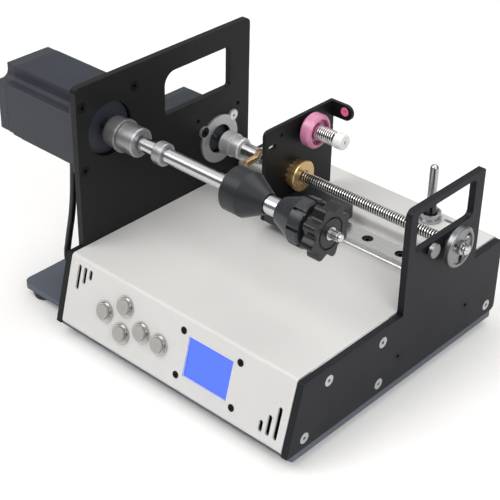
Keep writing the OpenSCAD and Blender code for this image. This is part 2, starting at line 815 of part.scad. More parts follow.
module spindle_motor_body() color("#3d4045") set_down() difference() {
    translate([0, spindle_y, spindle_h]) union() {
        slab_x(motor_x + cap_len, -plate_t) polygon(notched(motor_w, motor_flat, motor_fillet));
        slab_x(-plate_t - ear_t, -plate_t) polygon(rounded(
            [[-motor_w / 2, -motor_w / 2], [motor_w / 2, -motor_w / 2], [motor_w / 2, motor_w / 2],
            [-motor_w / 2, motor_w / 2]], [for (i = [0 : 3]) motor_fillet]));
        rod_x(-plate_t - over, -plate_t + pilot_t, pilot_r, 0, 0);
    }
    rod_x(-plate_t - motor_shaft_in, over, motor_shaft_r + fit, spindle_y, spindle_h, small);
    rod_x(-plate_t + pilot_t - bearing_w, over, bearing_r + fit, spindle_y, spindle_h, small);
    translate([0, spindle_y, spindle_h]) at_pilot_corners(motor_bolt)
        rod_x(-plate_t - ear_t - over, over, shank_r + screw_fit, 0, 0, small);
}

module spindle_motor_end_cap() color("#4a4d53") set_down() translate([0, spindle_y, spindle_h])
    slab_x(motor_x, motor_x + cap_len) polygon(notched(motor_w, motor_flat, motor_fillet));

module spindle_motor_bearing() color("#c6c8cb") set_down() translate([0, spindle_y, spindle_h]) difference() {
    rod_x(-plate_t + pilot_t - bearing_w, -plate_t + pilot_t, bearing_r, 0, 0, small);
    rod_x(-plate_t - bearing_w, over, motor_shaft_r + fit, 0, 0, small);
}

module spindle_motor_shaft() color("#2a2b2d") set_down()
    rod_x(-plate_t - motor_shaft_in + over, coupling_split - fit, motor_shaft_r, spindle_y, spindle_h, small);

// Traverse motor
module small_motor_outline() {
    h = small_motor_w / 2;
    c = h - small_chamfer;
    polygon([[c, h], [h, c], [h, -c], [c, -h], [-c, -h], [-h, -c], [-h, c], [-c, h]]);
}

module traverse_motor_body() color("#303235") set_down() difference() {
    translate([0, screw_y, screw_h]) union() {
        slab_x(-plate_t - small_motor_len + small_cap_len, -plate_t) small_motor_outline();
        rod_x(-plate_t - over, -plate_t / 2, small_pilot_r, 0, 0);
    }
    rod_x(-plate_t - small_shaft_in, over, small_shaft_r + fit, screw_y, screw_h, small);
    for (p = ring_screws)
        rod_x(-plate_t - pan_t * 2, over, shank_r + screw_fit, screw_y + p[0], screw_h + p[1], small);
}

module traverse_motor_end_cap() color("#4a4d53") set_down() translate([0, screw_y, screw_h])
    slab_x(-plate_t - small_motor_len, -plate_t - small_motor_len + small_cap_len) small_motor_outline();

module adapter_ring() color("#b4b6b9") set_down() difference() {
    union() {
        rod_x(0, ring_t, ring_r, screw_y, screw_h);
        for (p = ring_screws) rod_x(0, ring_t, ring_ear_r, screw_y + p[0], screw_h + p[1], small);
    }
    rod_x(-over, ring_t + over, ring_bore_r, screw_y, screw_h);
    for (p = ring_screws) on_face(ring_t, screw_y + p[0], screw_h + p[1], 1) csk_hole(ring_t + over);
}

// Motor leads: one tube each, swept along its route in a plane of constant Y
function lead_ring(path, i, y) =
    let (t = unit(path[min(i + 1, len(path) - 1)] - path[max(i - 1, 0)]))
    [for (k = [0 : lead_sides - 1]) let (a = 360 * k / lead_sides, side = lead_r * cos(a), up = lead_r * sin(a))
        [path[i][0] - t[1] * up, y + side, path[i][1] + t[0] * up]];

module lead(path, y) {
    n = len(path);
    points = [for (i = [0 : n - 1]) each lead_ring(path, i, y)];
    walls = [for (i = [0 : n - 2], k = [0 : lead_sides - 1]) let (a = i * lead_sides, j = (k + 1) % lead_sides)
        [a + k, a + j, a + lead_sides + j, a + lead_sides + k]];
    first = [for (k = [lead_sides - 1 : -1 : 0]) k];
    last = [for (k = [0 : lead_sides - 1]) (n - 1) * lead_sides + k];
    polyhedron(points, concat(walls, [first], [last]), convexity = 8);
}

module motor_leads() color("#151517") set_down() {
    lead(spindle_lead, spindle_lead_y);
    lead(traverse_lead, traverse_lead_y);
}

module lead_grommets() color("#202123") set_down() for (y = [spindle_lead_y, traverse_lead_y]) difference() {
    union() {
        rod_x(-plate_t, 0, grommet_r - screw_fit / 2, y, lead_hole_z, small);
        rod_x(-plate_t - grommet_t, -plate_t, grommet_flange_r, y, lead_hole_z, small);
        rod_x(0, grommet_t, grommet_flange_r, y, lead_hole_z, small);
    }
    rod_x(-plate_t - grommet_t - over, grommet_t + over, lead_r + screw_fit, y, lead_hole_z, small);
}

// Rail and lead-screw bushing
rail_groove = 1;
rail_line = rail_h / 5;
module rail() color("#c3c4c4") set_down() difference() {
    translate([0, rail_y, cover_h]) slab_x(rail_left, rail_right) polygon([
        [-rail_w / 2, 0], [rail_w / 2, 0], [rail_w / 2, rail_line], [rail_w / 2 - rail_groove, rail_line * 1.5],
        [rail_w / 2 - rail_groove, rail_line * 3], [rail_w / 2, rail_line * 3.5], [rail_w / 2, rail_h],
        [-rail_w / 2, rail_h], [-rail_w / 2, rail_line * 3.5], [-rail_w / 2 + rail_groove, rail_line * 3],
        [-rail_w / 2 + rail_groove, rail_line * 1.5], [-rail_w / 2, rail_line]]);
    for (x = rail_holes) translate([x, rail_y, cover_h]) {
        translate([0, 0, -over]) cylinder(h = rail_h + over * 2, r = shank_r + screw_fit, $fn = small);
        translate([0, 0, rail_h / 2]) cylinder(h = rail_h, r = head_r + screw_fit, $fn = small);
    }
}

module rail_screws() color("#232426") set_down()
    for (x = rail_holes) translate([x, rail_y, cover_h + rail_h / 2]) difference() {
        union() {
            cylinder(h = head_t, r = head_r - screw_fit, $fn = small);
            translate([0, 0, -rail_h / 2 - sheet_t - beam_h / 2])
                cylinder(h = rail_h / 2 + sheet_t + beam_h / 2 + head_t / 2, r = shank_r, $fn = small);
        }
        translate([0, 0, head_t - socket_t]) cylinder(h = socket_t + over, r = socket_r, $fn = 6);
    }

module screw_bushing() color("#8d8f93") set_down() difference() {
    union() {
        rod_x(right_x, outer_x, bushing_r, screw_y, screw_h);
        rod_x(right_x - bushing_flange_t, right_x, bushing_flange_r, screw_y, screw_h);
    }
    rod_x(right_x - bushing_flange_t - over, outer_x + over, screw_r + fit, screw_y, screw_h);
}

// Display
module display_board() color("#1e5a3c") set_down() on_slope(display_x, display_s) difference() {
    union() {
        translate([-board_w / 2, -board_l / 2, -sheet_t - board_gap - board_t]) cube([board_w, board_l, board_t]);
        translate([-window_w / 2 - glass_margin, -window_h / 2 - glass_margin, -sheet_t - board_gap - board_t / 2])
            cube([window_w + glass_margin * 2, window_h + glass_margin * 2, board_gap - glass_t + board_t / 2]);
        for (dx = [-display_bolt_w / 2, display_bolt_w / 2], dy = [-display_bolt_h / 2, display_bolt_h / 2])
            translate([dx, dy, -sheet_t - board_gap - board_t / 2])
            cylinder(h = board_gap + board_t / 2, r = spacer_r, $fn = small);
    }
    for (dx = [-display_bolt_w / 2, display_bolt_w / 2], dy = [-display_bolt_h / 2, display_bolt_h / 2])
        translate([dx, dy, -bolt_len - over]) cylinder(h = bolt_len + over, r = bolt_r + screw_fit, $fn = small);
}

module display_glass() color("#5b80ff") set_down() on_slope(display_x, display_s)
    translate([-window_w / 2 - glass_margin, -window_h / 2 - glass_margin, -sheet_t - glass_t])
    cube([window_w + glass_margin * 2, window_h + glass_margin * 2, glass_t]);

module display_screws() color("#1a1b1d") set_down() on_slope(display_x, display_s)
    for (dx = [-display_bolt_w / 2, display_bolt_w / 2], dy = [-display_bolt_h / 2, display_bolt_h / 2])
    translate([dx, dy, 0]) difference() {
        union() {
            translate([0, 0, -bolt_head_t]) cylinder(h = bolt_head_t, r1 = bolt_r, r2 = bolt_head_r, $fn = small);
            translate([0, 0, -bolt_len]) cylinder(h = bolt_len - bolt_head_t / 2, r = bolt_r, $fn = small);
        }
        translate([0, 0, -bolt_head_t / 2]) cylinder(h = over, r = bolt_socket_r, $fn = 6);
    }

// Buttons
button_places = [[pad_x - pad_dx, pad_s], [pad_x + pad_dx, pad_s], [pad_x, pad_s + pad_up],
    [pad_x, pad_s - pad_down], [pad_x + start_dx, pad_s - start_drop]];

module button_bushings() color("#c4c5c4") set_down() for (b = button_places) on_slope(b[0], b[1]) {
    difference() {
        union() {
            cylinder(h = flange_h, r = button_r, $fn = fine);
            cylinder(h = ring_top_h, r = ring_top_r, $fn = fine);
            translate([0, 0, -barrel_len]) cylinder(h = barrel_len + over / 2, r = barrel_r, $fn = fine);
        }
        translate([0, 0, well_floor]) cylinder(h = ring_top_h - well_floor + over, r = cap_r + screw_fit, $fn = fine);
        translate([0, 0, -barrel_len - over])
            cylinder(h = barrel_len + ring_top_h, r = stem_r + fit, $fn = small);
    }
    translate([0, 0, -sheet_t - nut_h]) difference() {
        cylinder(h = nut_h, r = nut_r, $fn = 6);
        translate([0, 0, -over]) cylinder(h = nut_h + over * 2, r = barrel_r + fit, $fn = fine);
    }
}

module button_cap(i) color("#d5d5d2") set_down() on_slope(button_places[i][0], button_places[i][1]) {
    translate([0, 0, cap_low]) cylinder(h = cap_t, r = cap_r, $fn = fine);
    translate([0, 0, stem_low]) cylinder(h = cap_low - stem_low + cap_t / 2, r = stem_r, $fn = small);
}

module left_button() button_cap(0);
module right_button() button_cap(1);
module up_button() button_cap(2);
module down_button() button_cap(3);
module start_button() button_cap(4);

// Electronics
module control_board() color("#1f6b46") set_down() translate([main_board_x, main_board_y, standoff_h]) {
    cube([main_board[0], main_board[1], board_t]);
    translate([chip_place[0], chip_place[1], board_t / 2]) cube(chip + [0, 0, board_t / 2]);
    translate([main_board[0] - plug[0] * 2, chip_place[1], board_t / 2]) cube(plug + [0, 0, board_t / 2]);
}

module driver_box(size) difference() {
    cube(size);
    for (y = [fin_w : fin_w * 2 : size[1] - fin_w * 2]) translate([-over, y, size[2] - fin_deep])
        cube([size[0] + over * 2, fin_w, fin_deep + over]);
}

module motor_drivers() color("#75787d") set_down() {
    translate([driver_x, driver_1_y, 0]) driver_box(driver_1);
    translate([driver_x, driver_2_y, 0]) driver_box(driver_2);
}

module power_inlet() color("#1b1c1e") set_down() on_back(inlet_x, inlet_z) {
    difference() {
        union() {
            cylinder(h = inlet_flange_t, r = inlet_flange_r, $fn = fine);
            translate([0, 0, -inlet_len]) cylinder(h = inlet_len + over, r = inlet_r, $fn = fine);
        }
        translate([0, 0, -inlet_len + inlet_wall]) cylinder(h = inlet_len + over, r = inlet_bore_r, $fn = small);
    }
    translate([0, 0, -inlet_len + over]) cylinder(h = inlet_len - over, r = inlet_pin_r, $fn = small);
}

module switch_housing() color("#1b1c1e") set_down() on_back(switch_x, inlet_z) difference() {
    union() {
        translate([-bezel_w / 2, -bezel_h / 2, 0]) cube([bezel_w, bezel_h, bezel_t]);
        translate([-switch_w / 2, -switch_h / 2, -switch_deep]) cube([switch_w, switch_h, switch_deep + over]);
    }
    translate([-rocker_w / 2 - screw_fit, -cavity_half, -rocker_in - rocker_r])
        cube([rocker_w + screw_fit * 2, cavity_half * 2, rocker_in + rocker_r + bezel_t + over]);
    translate([-switch_w / 2 + over, 0, -rocker_in]) rotate([0, 90, 0])
        cylinder(h = switch_w - over * 2, r = rocker_pin_r + fit, $fn = small);
}

module power_rocker() color("#2b2c2f") set_down() on_back(switch_x, inlet_z) translate([0, 0, -rocker_in]) {
    intersection() {
        translate([-rocker_w / 2, 0, 0]) rotate([0, 90, 0]) cylinder(h = rocker_w, r = rocker_r, $fn = fine);
        translate([-rocker_w / 2, -rocker_half, -rocker_back])
            cube([rocker_w, rocker_half * 2, rocker_r + rocker_back]);
    }
    translate([-rocker_w / 2 - rocker_pin, 0, 0]) rotate([0, 90, 0])
        cylinder(h = rocker_w + rocker_pin * 2, r = rocker_pin_r, $fn = small);
}

// Spindle
module spindle_coupling() color("#a8a9aa") set_down() difference() {
    turned_x(spindle_y, spindle_h) polygon([
        [0, coupling_x], [hub_r - hub_edge / 2, coupling_x], [hub_r, coupling_x + hub_edge / 2], [hub_r, hub_rim[0]],
        [hub_rim_r, hub_rim[0] + hub_edge / 2], [hub_rim_r, hub_rim[1]], [hub_groove_r, hub_rim[1]],
        [hub_groove_r, hub_groove], [hub_second_r, hub_groove], [hub_second_r, coupling_end - hub_edge],
        [hub_second_r - hub_edge, coupling_end], [0, coupling_end]]);
    rod_x(coupling_x - over, coupling_split, motor_shaft_r + fit, spindle_y, spindle_h, small);
    rod_x(coupling_split - fit, coupling_end + over, shaft_r + fit, spindle_y, spindle_h);
    rod_x(coupling_end - hub_edge, coupling_end + over, hub_recess_r, spindle_y, spindle_h);
}

module spindle_shaft() color("#cfd0d1") set_down() turned_x(spindle_y, spindle_h) polygon([
    [0, coupling_split + fit], [shaft_r, coupling_split + fit], [shaft_r, seat_start], [seat_r, seat_start],
    [seat_r, seat_end], [thread_r, seat_end], [thread_r, thread_end - star_edge],
    [thread_r - star_edge, thread_end], [0, thread_end]]);

module set_collar() color("#b3b5b8") set_down() difference() {
    turned_x(spindle_y, spindle_h) polygon([
        [0, collar[0]], [collar_r - hub_edge, collar[0]], [collar_r, collar[0] + hub_edge],
        [collar_r, collar[1] - hub_edge], [collar_r - hub_edge, collar[1]], [0, collar[1]]]);
    rod_x(collar[0] - over, collar[1] + over, shaft_r + fit, spindle_y, spindle_h);
}

module drive_cone() color("#3a3c40") set_down() difference() {
    turned_x(spindle_y, spindle_h) polygon([
        [0, cone_x], [cone_r - cone_edge, cone_x], [cone_r, cone_x + cone_edge], [cone_r, cone_x + cone_drum],
        [cone_tip_r, cone_end], [0, cone_end]]);
    rod_x(cone_x - over, seat_start + fit, shaft_r + fit, spindle_y, spindle_h);
    rod_x(seat_start - fit, cone_end + over, seat_r + fit, spindle_y, spindle_h);
}

module tail_cone() color("#36383b") set_down() difference() {
    turned_x(spindle_y, spindle_h) polygon([
        [0, tail_x], [tail_tip_r - cone_edge, tail_x], [tail_tip_r, tail_x + cone_edge / 2],
        [tail_r - tail_step, tail_x + tail_taper], [tail_r, tail_x + tail_taper], [tail_r, tail_end - cone_edge],
        [tail_r - cone_edge, tail_end], [0, tail_end]]);
    rod_x(tail_x - over, tail_end + over, seat_r + fit, spindle_y, spindle_h);
    for (i = [0 : star_lobes - 1]) translate([0, spindle_y, spindle_h])
        rotate([star_turn + 180 / star_lobes + 360 * i / star_lobes, 0, 0])
        block([tail_x + tail_taper, tail_r - pad_slot_deep, -pad_slot_w / 2],
        [tail_end + over, tail_r + over, pad_slot_w / 2]);
}

// The knob's outline: a circle with a smooth wave
star_steps = star_lobes * star_facets;
star_points = [for (i = [0 : star_steps - 1]) let (a = 360 * i / star_steps,
    r = star_r - star_wave / 2 * (1 - cos(star_lobes * (a - star_turn)))) [r * cos(a), r * sin(a)]];

module star_knob() color("#2f3134") set_down() difference() {
    union() {
        rod_x(star_x, star_x + star_hub_t + over, star_hub_r, spindle_y, spindle_h);
        translate([0, spindle_y, spindle_h]) slab_x(star_x + star_hub_t, star_end) polygon(star_points);
    }
    rod_x(star_x - over, star_end + over, insert_r + fit, spindle_y, spindle_h);
    turned_x(spindle_y, spindle_h) polygon([
        [star_groove_r, star_end - star_groove_w], [star_groove_r + star_groove_w, star_end - star_groove_w],
        [star_groove_r + star_groove_w, star_end + over], [star_groove_r, star_end + over]]);
}

module knob_insert() color("#c3c4c6") set_down() difference() {
    rod_x(star_x + star_edge, star_end + insert_proud, insert_r, spindle_y, spindle_h);
    rod_x(star_x, star_end + insert_proud + over, thread_r + fit, spindle_y, spindle_h);
}

// Traverse drive
module traverse_motor_shaft() color("#b9bbbd") set_down()
    rod_x(-plate_t - small_shaft_in + over, small_shaft_out, small_shaft_r, screw_y, screw_h, small);

module traverse_coupling() color("#b0b1b3") set_down() difference() {
    turned_x(screw_y, screw_h) polygon([
        [0, tc_x], [tc_r - hub_edge, tc_x], [tc_r, tc_x + hub_edge], [tc_r, tc_split], [tc_groove_r, tc_split],
        [tc_groove_r, tc_split + tc_groove], [tc_second_r, tc_split + tc_groove], [tc_second_r, tc_end - hub_edge],
        [tc_second_r - hub_edge, tc_end], [0, tc_end]]);
    rod_x(tc_x - over, tc_split, small_shaft_r + fit, screw_y, screw_h, small);
    rod_x(tc_split - fit, tc_end + over, journal_r + fit, screw_y, screw_h);
}

module lead_screw() color("#c2c3c5") set_down() difference() {
    union() {
        rod_x(tc_split + fit, journal_end, journal_r, screw_y, screw_h);
        rod_x(journal_end - over, screw_end, screw_r, screw_y, screw_h);
    }
    translate([0, screw_y, screw_h]) block([key_x - key_w / 2 - fit, -journal_r - over, key_low],
        [key_x + key_w / 2 + fit, key_back + fit, journal_r + over]);
}

module drive_key() color("#d8b26a") set_down() translate([key_x, screw_y, screw_h])
    block([-key_w / 2, key_back - key_len, key_low], [key_w / 2, key_back, key_low + key_t]);

module handwheel() color("#bcbdbf") set_down() difference() {
    turned_x(screw_y, screw_h) polygon([
        [0, wheel_x - wheel_gap / 2], [wheel_hub_r, wheel_x - wheel_gap / 2], [wheel_hub_r, wheel_x + wheel_web],
        [wheel_r - wheel_rim, wheel_x + wheel_web], [wheel_r - wheel_rim, wheel_x],
        [wheel_r - hub_edge, wheel_x], [wheel_r, wheel_x + hub_edge], [wheel_r, wheel_x + wheel_w - hub_edge],
        [wheel_r - hub_edge, wheel_x + wheel_w], [wheel_r - wheel_rim, wheel_x + wheel_w],
        [wheel_r - wheel_rim, wheel_x + wheel_face], [wheel_hub_r, wheel_x + wheel_face],
        [wheel_hub_r, wheel_x + wheel_hub_len], [0, wheel_x + wheel_hub_len]]);
    rod_x(outer_x, screw_end + over, screw_r + fit, screw_y, screw_h);
    for (i = [0 : spokes - 1]) translate([0, screw_y, screw_h]) rotate([wheel_turn + 360 * i / spokes, 0, 0])
        slab_x(wheel_x - over, wheel_x + wheel_face + over) wheel_opening();
}

// One rounded opening between two spokes, in the wheel's web
module wheel_opening() polygon(concat(
    [for (i = [0 : arc_steps]) let (a = -90 + 180 * i / arc_steps)
        [wheel_slot[1] + wheel_slot_r * cos(a), wheel_slot_r * sin(a)]],
    [for (i = [0 : arc_steps]) let (a = 90 + 180 * i / arc_steps)
        [wheel_slot[0] + wheel_slot_r * cos(a), wheel_slot_r * sin(a)]]));

// Carriage
module saddle() color("#2c2e32") set_down() difference() {
    translate([0, 0, saddle_low]) linear_extrude(saddle_high - saddle_low) polygon(rounded(
        [[carriage_x, carriage_front], [carriage_x + saddle_len, carriage_front],
        [carriage_x + saddle_len, saddle_back], [carriage_x, saddle_back]], [0, saddle_r, saddle_r, 0]));
    block([carriage_x + block_gap - screw_fit, rail_y - block_w / 2 - screw_fit, saddle_low - over],
        [carriage_x + block_gap + block_len + screw_fit, rail_y + block_w / 2 + screw_fit, block_high]);
}

module slider_block() color("#9b9da1") set_down() difference() {
    block([carriage_x + block_gap, rail_y - block_w / 2, block_low],
        [carriage_x + block_gap + block_len, rail_y + block_w / 2, block_high]);
    block([carriage_x, rail_y - rail_w / 2 - fit, block_low - over],
        [carriage_x + block_gap * 2 + block_len, rail_y + rail_w / 2 + fit, cover_h + rail_h + fit]);
}

ear_low = cover_h + carriage_top - ear_h;
module carriage_plate() color("#2b2d30") set_down() difference() {
    union() {
        slab_x(carriage_left, carriage_x) polygon(rounded(
            [[carriage_front, saddle_low], [carriage_front, cover_h + carriage_top],
            [carriage_back, cover_h + carriage_top], [carriage_back, ledge_h + plate_clear],
            [plate_step_y, ledge_h + plate_clear], [plate_step_y, saddle_low]], [0, plate_r, 0, 0, 0, 0]));
        translate([0, carriage_back, 0]) rotate([90, 0, 0]) linear_extrude(carriage_t) polygon(rounded(
            [[carriage_left, ear_low], [carriage_x + ear_reach, ear_low], [carriage_x + ear_reach,
            cover_h + carriage_top], [carriage_left, cover_h + carriage_top]], [0, ear_r, ear_r, 0]));
    }
    rod_x(carriage_left - over, carriage_x + over, nut_spigot_r + fit, screw_y, screw_h);
    rod_x(carriage_left - over, carriage_x + over, stud_r + fit, stud_y, stud_z, small);
    rod_x(carriage_left - over, carriage_x + over, small_hole_r, hole_y, hole_z, small);
    on_face(carriage_x, 0, adjust_slot_z, 1)
        round_slot(adjust_slot_y[0], adjust_slot_y[1], adjust_slot_r, carriage_t + over);
    translate([carriage_x + eyelet_x, carriage_back + over, cover_h + carriage_top - eyelet_drop]) rotate([90, 0, 0])
        cylinder(h = carriage_t + over * 2, r = eyelet_r - eyelet_lip + fit, $fn = small);
}

module guide_eyelet() color("#e8548f") set_down()
    translate([carriage_x + eyelet_x, carriage_back + eyelet_lip, cover_h + carriage_top - eyelet_drop])
    rotate([90, 0, 0]) difference() {
        union() {
            cylinder(h = carriage_t + eyelet_lip * 2, r = eyelet_r - eyelet_lip, $fn = small);
            cylinder(h = eyelet_lip, r = eyelet_r, $fn = small);
            translate([0, 0, carriage_t + eyelet_lip]) cylinder(h = eyelet_lip, r = eyelet_r, $fn = small);
        }
        translate([0, 0, -over]) cylinder(h = carriage_t + eyelet_lip * 2 + over * 2, r = eyelet_bore_r, $fn = small);
    }

nut_x = carriage_x + nut_body_len;
module traverse_nut() color("#d3ab62") set_down() difference() {
    turned_x(screw_y, screw_h) polygon([
        [0, carriage_left], [nut_spigot_r, carriage_left], [nut_spigot_r, carriage_x], [nut_body_r, carriage_x],
        [nut_body_r, nut_x], [nut_flange_r - hub_edge / 2, nut_x], [nut_flange_r, nut_x + hub_edge / 2],
        [nut_flange_r, nut_x + nut_flange_t - hub_edge / 2], [nut_flange_r - hub_edge / 2, nut_x + nut_flange_t],
        [0, nut_x + nut_flange_t]]);
    rod_x(carriage_left - over, nut_x + nut_flange_t + over, nut_bore_r, screw_y, screw_h);
    rod_x(nut_x + nut_flange_t - hub_edge, nut_x + nut_flange_t + over, nut_bore_r + hub_edge, screw_y, screw_h);
    for (i = [0 : nut_slots - 1]) translate([0, screw_y, screw_h]) rotate([360 * i / nut_slots, 0, 0])
        block([carriage_x - over, nut_slot_floor, -nut_slot_w / 2],
        [carriage_x + nut_slot_len, nut_flange_r, nut_slot_w / 2]);
}

// Tension unit
module tension_stud() color("#b5b7ba") set_down()
    rod_x(carriage_left, carriage_x + stud_len, stud_r, stud_y, stud_z, small);

module tension_disc() color("#e58ab4") set_down() difference() {
    turned_x(stud_y, stud_z) polygon([
        [0, carriage_x + disc_x], [disc_r - disc_edge, carriage_x + disc_x],
        [disc_r, carriage_x + disc_x + disc_edge], [disc_r, carriage_x + disc_x + disc_w - disc_edge],
        [disc_r - disc_edge, carriage_x + disc_x + disc_w],
        [disc_dish_r, carriage_x + disc_x + disc_w],
        [disc_dish_floor_r, carriage_x + disc_x + disc_w - disc_dish],
        [disc_hub_r, carriage_x + disc_x + disc_w - disc_dish],
        [disc_hub_r, carriage_x + disc_x + disc_w - disc_hub_back],
        [0, carriage_x + disc_x + disc_w - disc_hub_back]]);
    rod_x(carriage_left, carriage_x + disc_x + disc_w + over, stud_r + fit, stud_y, stud_z, small);
}

// The spring is one tube with a straight lead-in of one wire at each end plane
spring_rings = 8;
spring_sides = 6;
spring_steps = spring_turns * spring_rings;
spring_pitch = (spring_len - spring_wire_r * 2) / spring_turns;
function spring_mid(i) = let (a = 360 * i / spring_rings)
    [spring_wire_r + spring_pitch * i / spring_rings, spring_r * cos(a), spring_r * sin(a)];
echo(spring_gap = min([for (i = [0 : spring_steps - spring_rings], j = [i + spring_rings - 1 : i + spring_rings + 1])
    if (j <= spring_steps) norm(spring_mid(j) - spring_mid(i))]) - spring_wire_r * 2);
function spring_ring(i) = let (a = 360 * i / spring_rings, x = spring_wire_r + spring_pitch * i / spring_rings)
    [for (k = [0 : spring_sides - 1]) let (b = 360 * k / spring_sides,
        r = spring_r + spring_wire_r * cos(b))
        [x + spring_wire_r * sin(b), r * cos(a), r * sin(a)]];
module tension_spring() color("#e6e6e4") set_down() translate([carriage_x + spring_x, stud_y, stud_z]) {
    points = [for (i = [0 : spring_steps]) each spring_ring(i)];
    walls = [for (i = [0 : spring_steps - 1], k = [0 : spring_sides - 1])
        let (p = i * spring_sides, j = (k + 1) % spring_sides, a = p + k, b = p + j, c = b + spring_sides,
        d = a + spring_sides) each [[a, b, c], [a, c, d]]];
    first = [for (k = [1 : spring_sides - 2]) [0, k + 1, k]];
    last = [for (k = [1 : spring_sides - 2]) [0, k, k + 1] + [1, 1, 1] * spring_steps * spring_sides];
    polyhedron(points, concat(walls, first, last), convexity = 20);
}

module tension_knob() color("#f0f0ee") set_down() difference() {
    turned_x(stud_y, stud_z) polygon([
        [0, carriage_x + knob_x], [knob_r - knob_edge, carriage_x + knob_x], [knob_r, carriage_x + knob_x + knob_edge],
        [knob_r, carriage_x + knob_x + knob_len - knob_edge], [knob_r - knob_edge, carriage_x + knob_x + knob_len],
        [0, carriage_x + knob_x + knob_len]]);
    rod_x(carriage_x, carriage_x + stud_len + fit, stud_r + fit, stud_y, stud_z, small);
    rod_x(carriage_x + stud_len, carriage_x + knob_x + knob_len + over, knob_hole_r, stud_y, stud_z, small);
}

// Supply post
module post_base() color("#c0c1c3") set_down() translate([post_x, post_y, ledge_h]) difference() {
    union() {
        cylinder(h = post_base_step, r = post_base_r, $fn = fine);
        cylinder(h = post_base_h, r = post_waist_r, $fn = fine);
        translate([0, 0, post_base_h - post_lip]) cylinder(h = post_lip, r = post_neck_r, $fn = fine);
        translate([0, 0, -post_spigot]) cylinder(h = post_spigot + over, r = post_spigot_r, $fn = fine);
    }
    translate([0, 0, post_base_h - post_recess]) cylinder(h = post_recess + over, r = post_recess_r, $fn = fine);
    translate([0, 0, -post_spigot + over]) cylinder(h = post_spigot + post_base_h, r = post_r + fit, $fn = fine);
}

seat_low = post_base_h - post_recess + post_gap;
module spool_post() color("#8f9194") set_down() translate([post_x, post_y, ledge_h])
    rotate_extrude($fn = fine) polygon(concat(
        [[0, -post_spigot + over + post_gap], [post_r, -post_spigot + over + post_gap],
        [post_r, seat_low], [seat_flare_r, seat_low],
        [seat_top_r, seat_low + seat_flare_h], [post_r, seat_low + seat_flare_h]],
        [for (i = [0 : arc_steps]) [post_r * cos(90 * i / arc_steps), post_h - post_r + post_r * sin(90 * i / arc_steps)]]));

module thumb_screw() color("#c5c6c8") set_down() {
    y = screw_y + thumb_dy;
    z = screw_h + thumb_dz;
    turned_x(y, z) polygon([
        [0, right_x], [thumb_shank_r, right_x], [thumb_shank_r, outer_x + post_gap],
        [thumb_neck_r, outer_x + post_gap], [thumb_neck_r, outer_x + thumb_neck],
        [thumb_r - hub_edge / 2, outer_x + thumb_neck], [thumb_r, outer_x + thumb_neck + hub_edge / 2],
        [thumb_r, outer_x + thumb_neck + thumb_head - hub_edge / 2],
        [thumb_r - hub_edge / 2, outer_x + thumb_neck + thumb_head], [0, outer_x + thumb_neck + thumb_head]]);
}

base_plate();
rubber_feet();
base_screws();
left_plate();
right_plate();
cover();
tie_bars();
plate_screws();
black_screws();
spindle_motor_body();
spindle_motor_end_cap();
spindle_motor_bearing();
traverse_motor_body();
traverse_motor_end_cap();
adapter_ring();
motor_leads();
lead_grommets();
rail();
rail_screws();
screw_bushing();
display_board();
display_glass();
display_screws();
button_bushings();
control_board();
motor_drivers();
power_inlet();
switch_housing();
post_base();
spindle_motor_shaft();
spindle_coupling();
spindle_shaft();
set_collar();
drive_cone();
tail_cone();
star_knob();
knob_insert();
traverse_motor_shaft();
traverse_coupling();
lead_screw();
drive_key();
handwheel();
saddle();
slider_block();
carriage_plate();
traverse_nut();
guide_eyelet();
tension_stud();
tension_disc();
tension_spring();
tension_knob();
spool_post();
thumb_screw();
left_button();
right_button();
up_button();
down_button();
start_button();
power_rocker();
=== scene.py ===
"""Bench machine that winds fishing line: the visible model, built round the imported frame."""
import json
import math

import bpy
from mathutils import Matrix, Vector

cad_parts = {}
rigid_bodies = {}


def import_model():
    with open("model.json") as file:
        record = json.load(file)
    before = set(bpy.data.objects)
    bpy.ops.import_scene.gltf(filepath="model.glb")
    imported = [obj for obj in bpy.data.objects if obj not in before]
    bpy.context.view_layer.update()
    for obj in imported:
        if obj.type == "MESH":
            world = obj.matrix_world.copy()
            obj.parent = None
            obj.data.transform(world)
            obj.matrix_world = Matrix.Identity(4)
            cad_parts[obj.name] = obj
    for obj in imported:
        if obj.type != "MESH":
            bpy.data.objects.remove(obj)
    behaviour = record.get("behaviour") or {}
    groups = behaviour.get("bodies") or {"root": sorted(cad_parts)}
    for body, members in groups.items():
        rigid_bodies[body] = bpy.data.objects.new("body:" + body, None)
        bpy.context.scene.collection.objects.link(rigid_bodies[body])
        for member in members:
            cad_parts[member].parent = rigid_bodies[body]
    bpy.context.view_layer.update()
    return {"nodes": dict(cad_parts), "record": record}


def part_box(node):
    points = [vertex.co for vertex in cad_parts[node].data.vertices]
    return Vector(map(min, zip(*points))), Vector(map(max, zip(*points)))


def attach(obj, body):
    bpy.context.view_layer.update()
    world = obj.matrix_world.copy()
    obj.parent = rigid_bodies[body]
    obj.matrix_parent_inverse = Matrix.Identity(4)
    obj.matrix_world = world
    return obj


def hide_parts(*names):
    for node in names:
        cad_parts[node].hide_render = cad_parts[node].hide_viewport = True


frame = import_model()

bl_info = {
    "name": "Line Spooling Machine",
    "version": (1, 0, 0),
    "blender": (4, 5, 0),
    "location": "View3D > Sidebar > Spooler",
    "description": "Builds the visible pieces of a line spooling machine round its packed frame",
    "category": "Object",
}

MM = 0.001
SAME_POINT = 0.002 * MM     # points closer than this are one
FLAT_DEGREES = 0.4          # faces that meet at less than this are one flat face
JOURNAL_MM = 27.25          # length of the lead screw's smooth journal

BODY_OF = {node: body for body, nodes in frame["record"]["behaviour"]["bodies"].items() for node in nodes}


# Helpers for objects

def only(obj):
    """Selects this object alone and makes it the active one."""
    if bpy.context.mode != "OBJECT":
        bpy.ops.object.mode_set(mode="OBJECT")
    bpy.ops.object.select_all(action="DESELECT")
    obj.select_set(True)
    bpy.context.view_layer.objects.active = obj


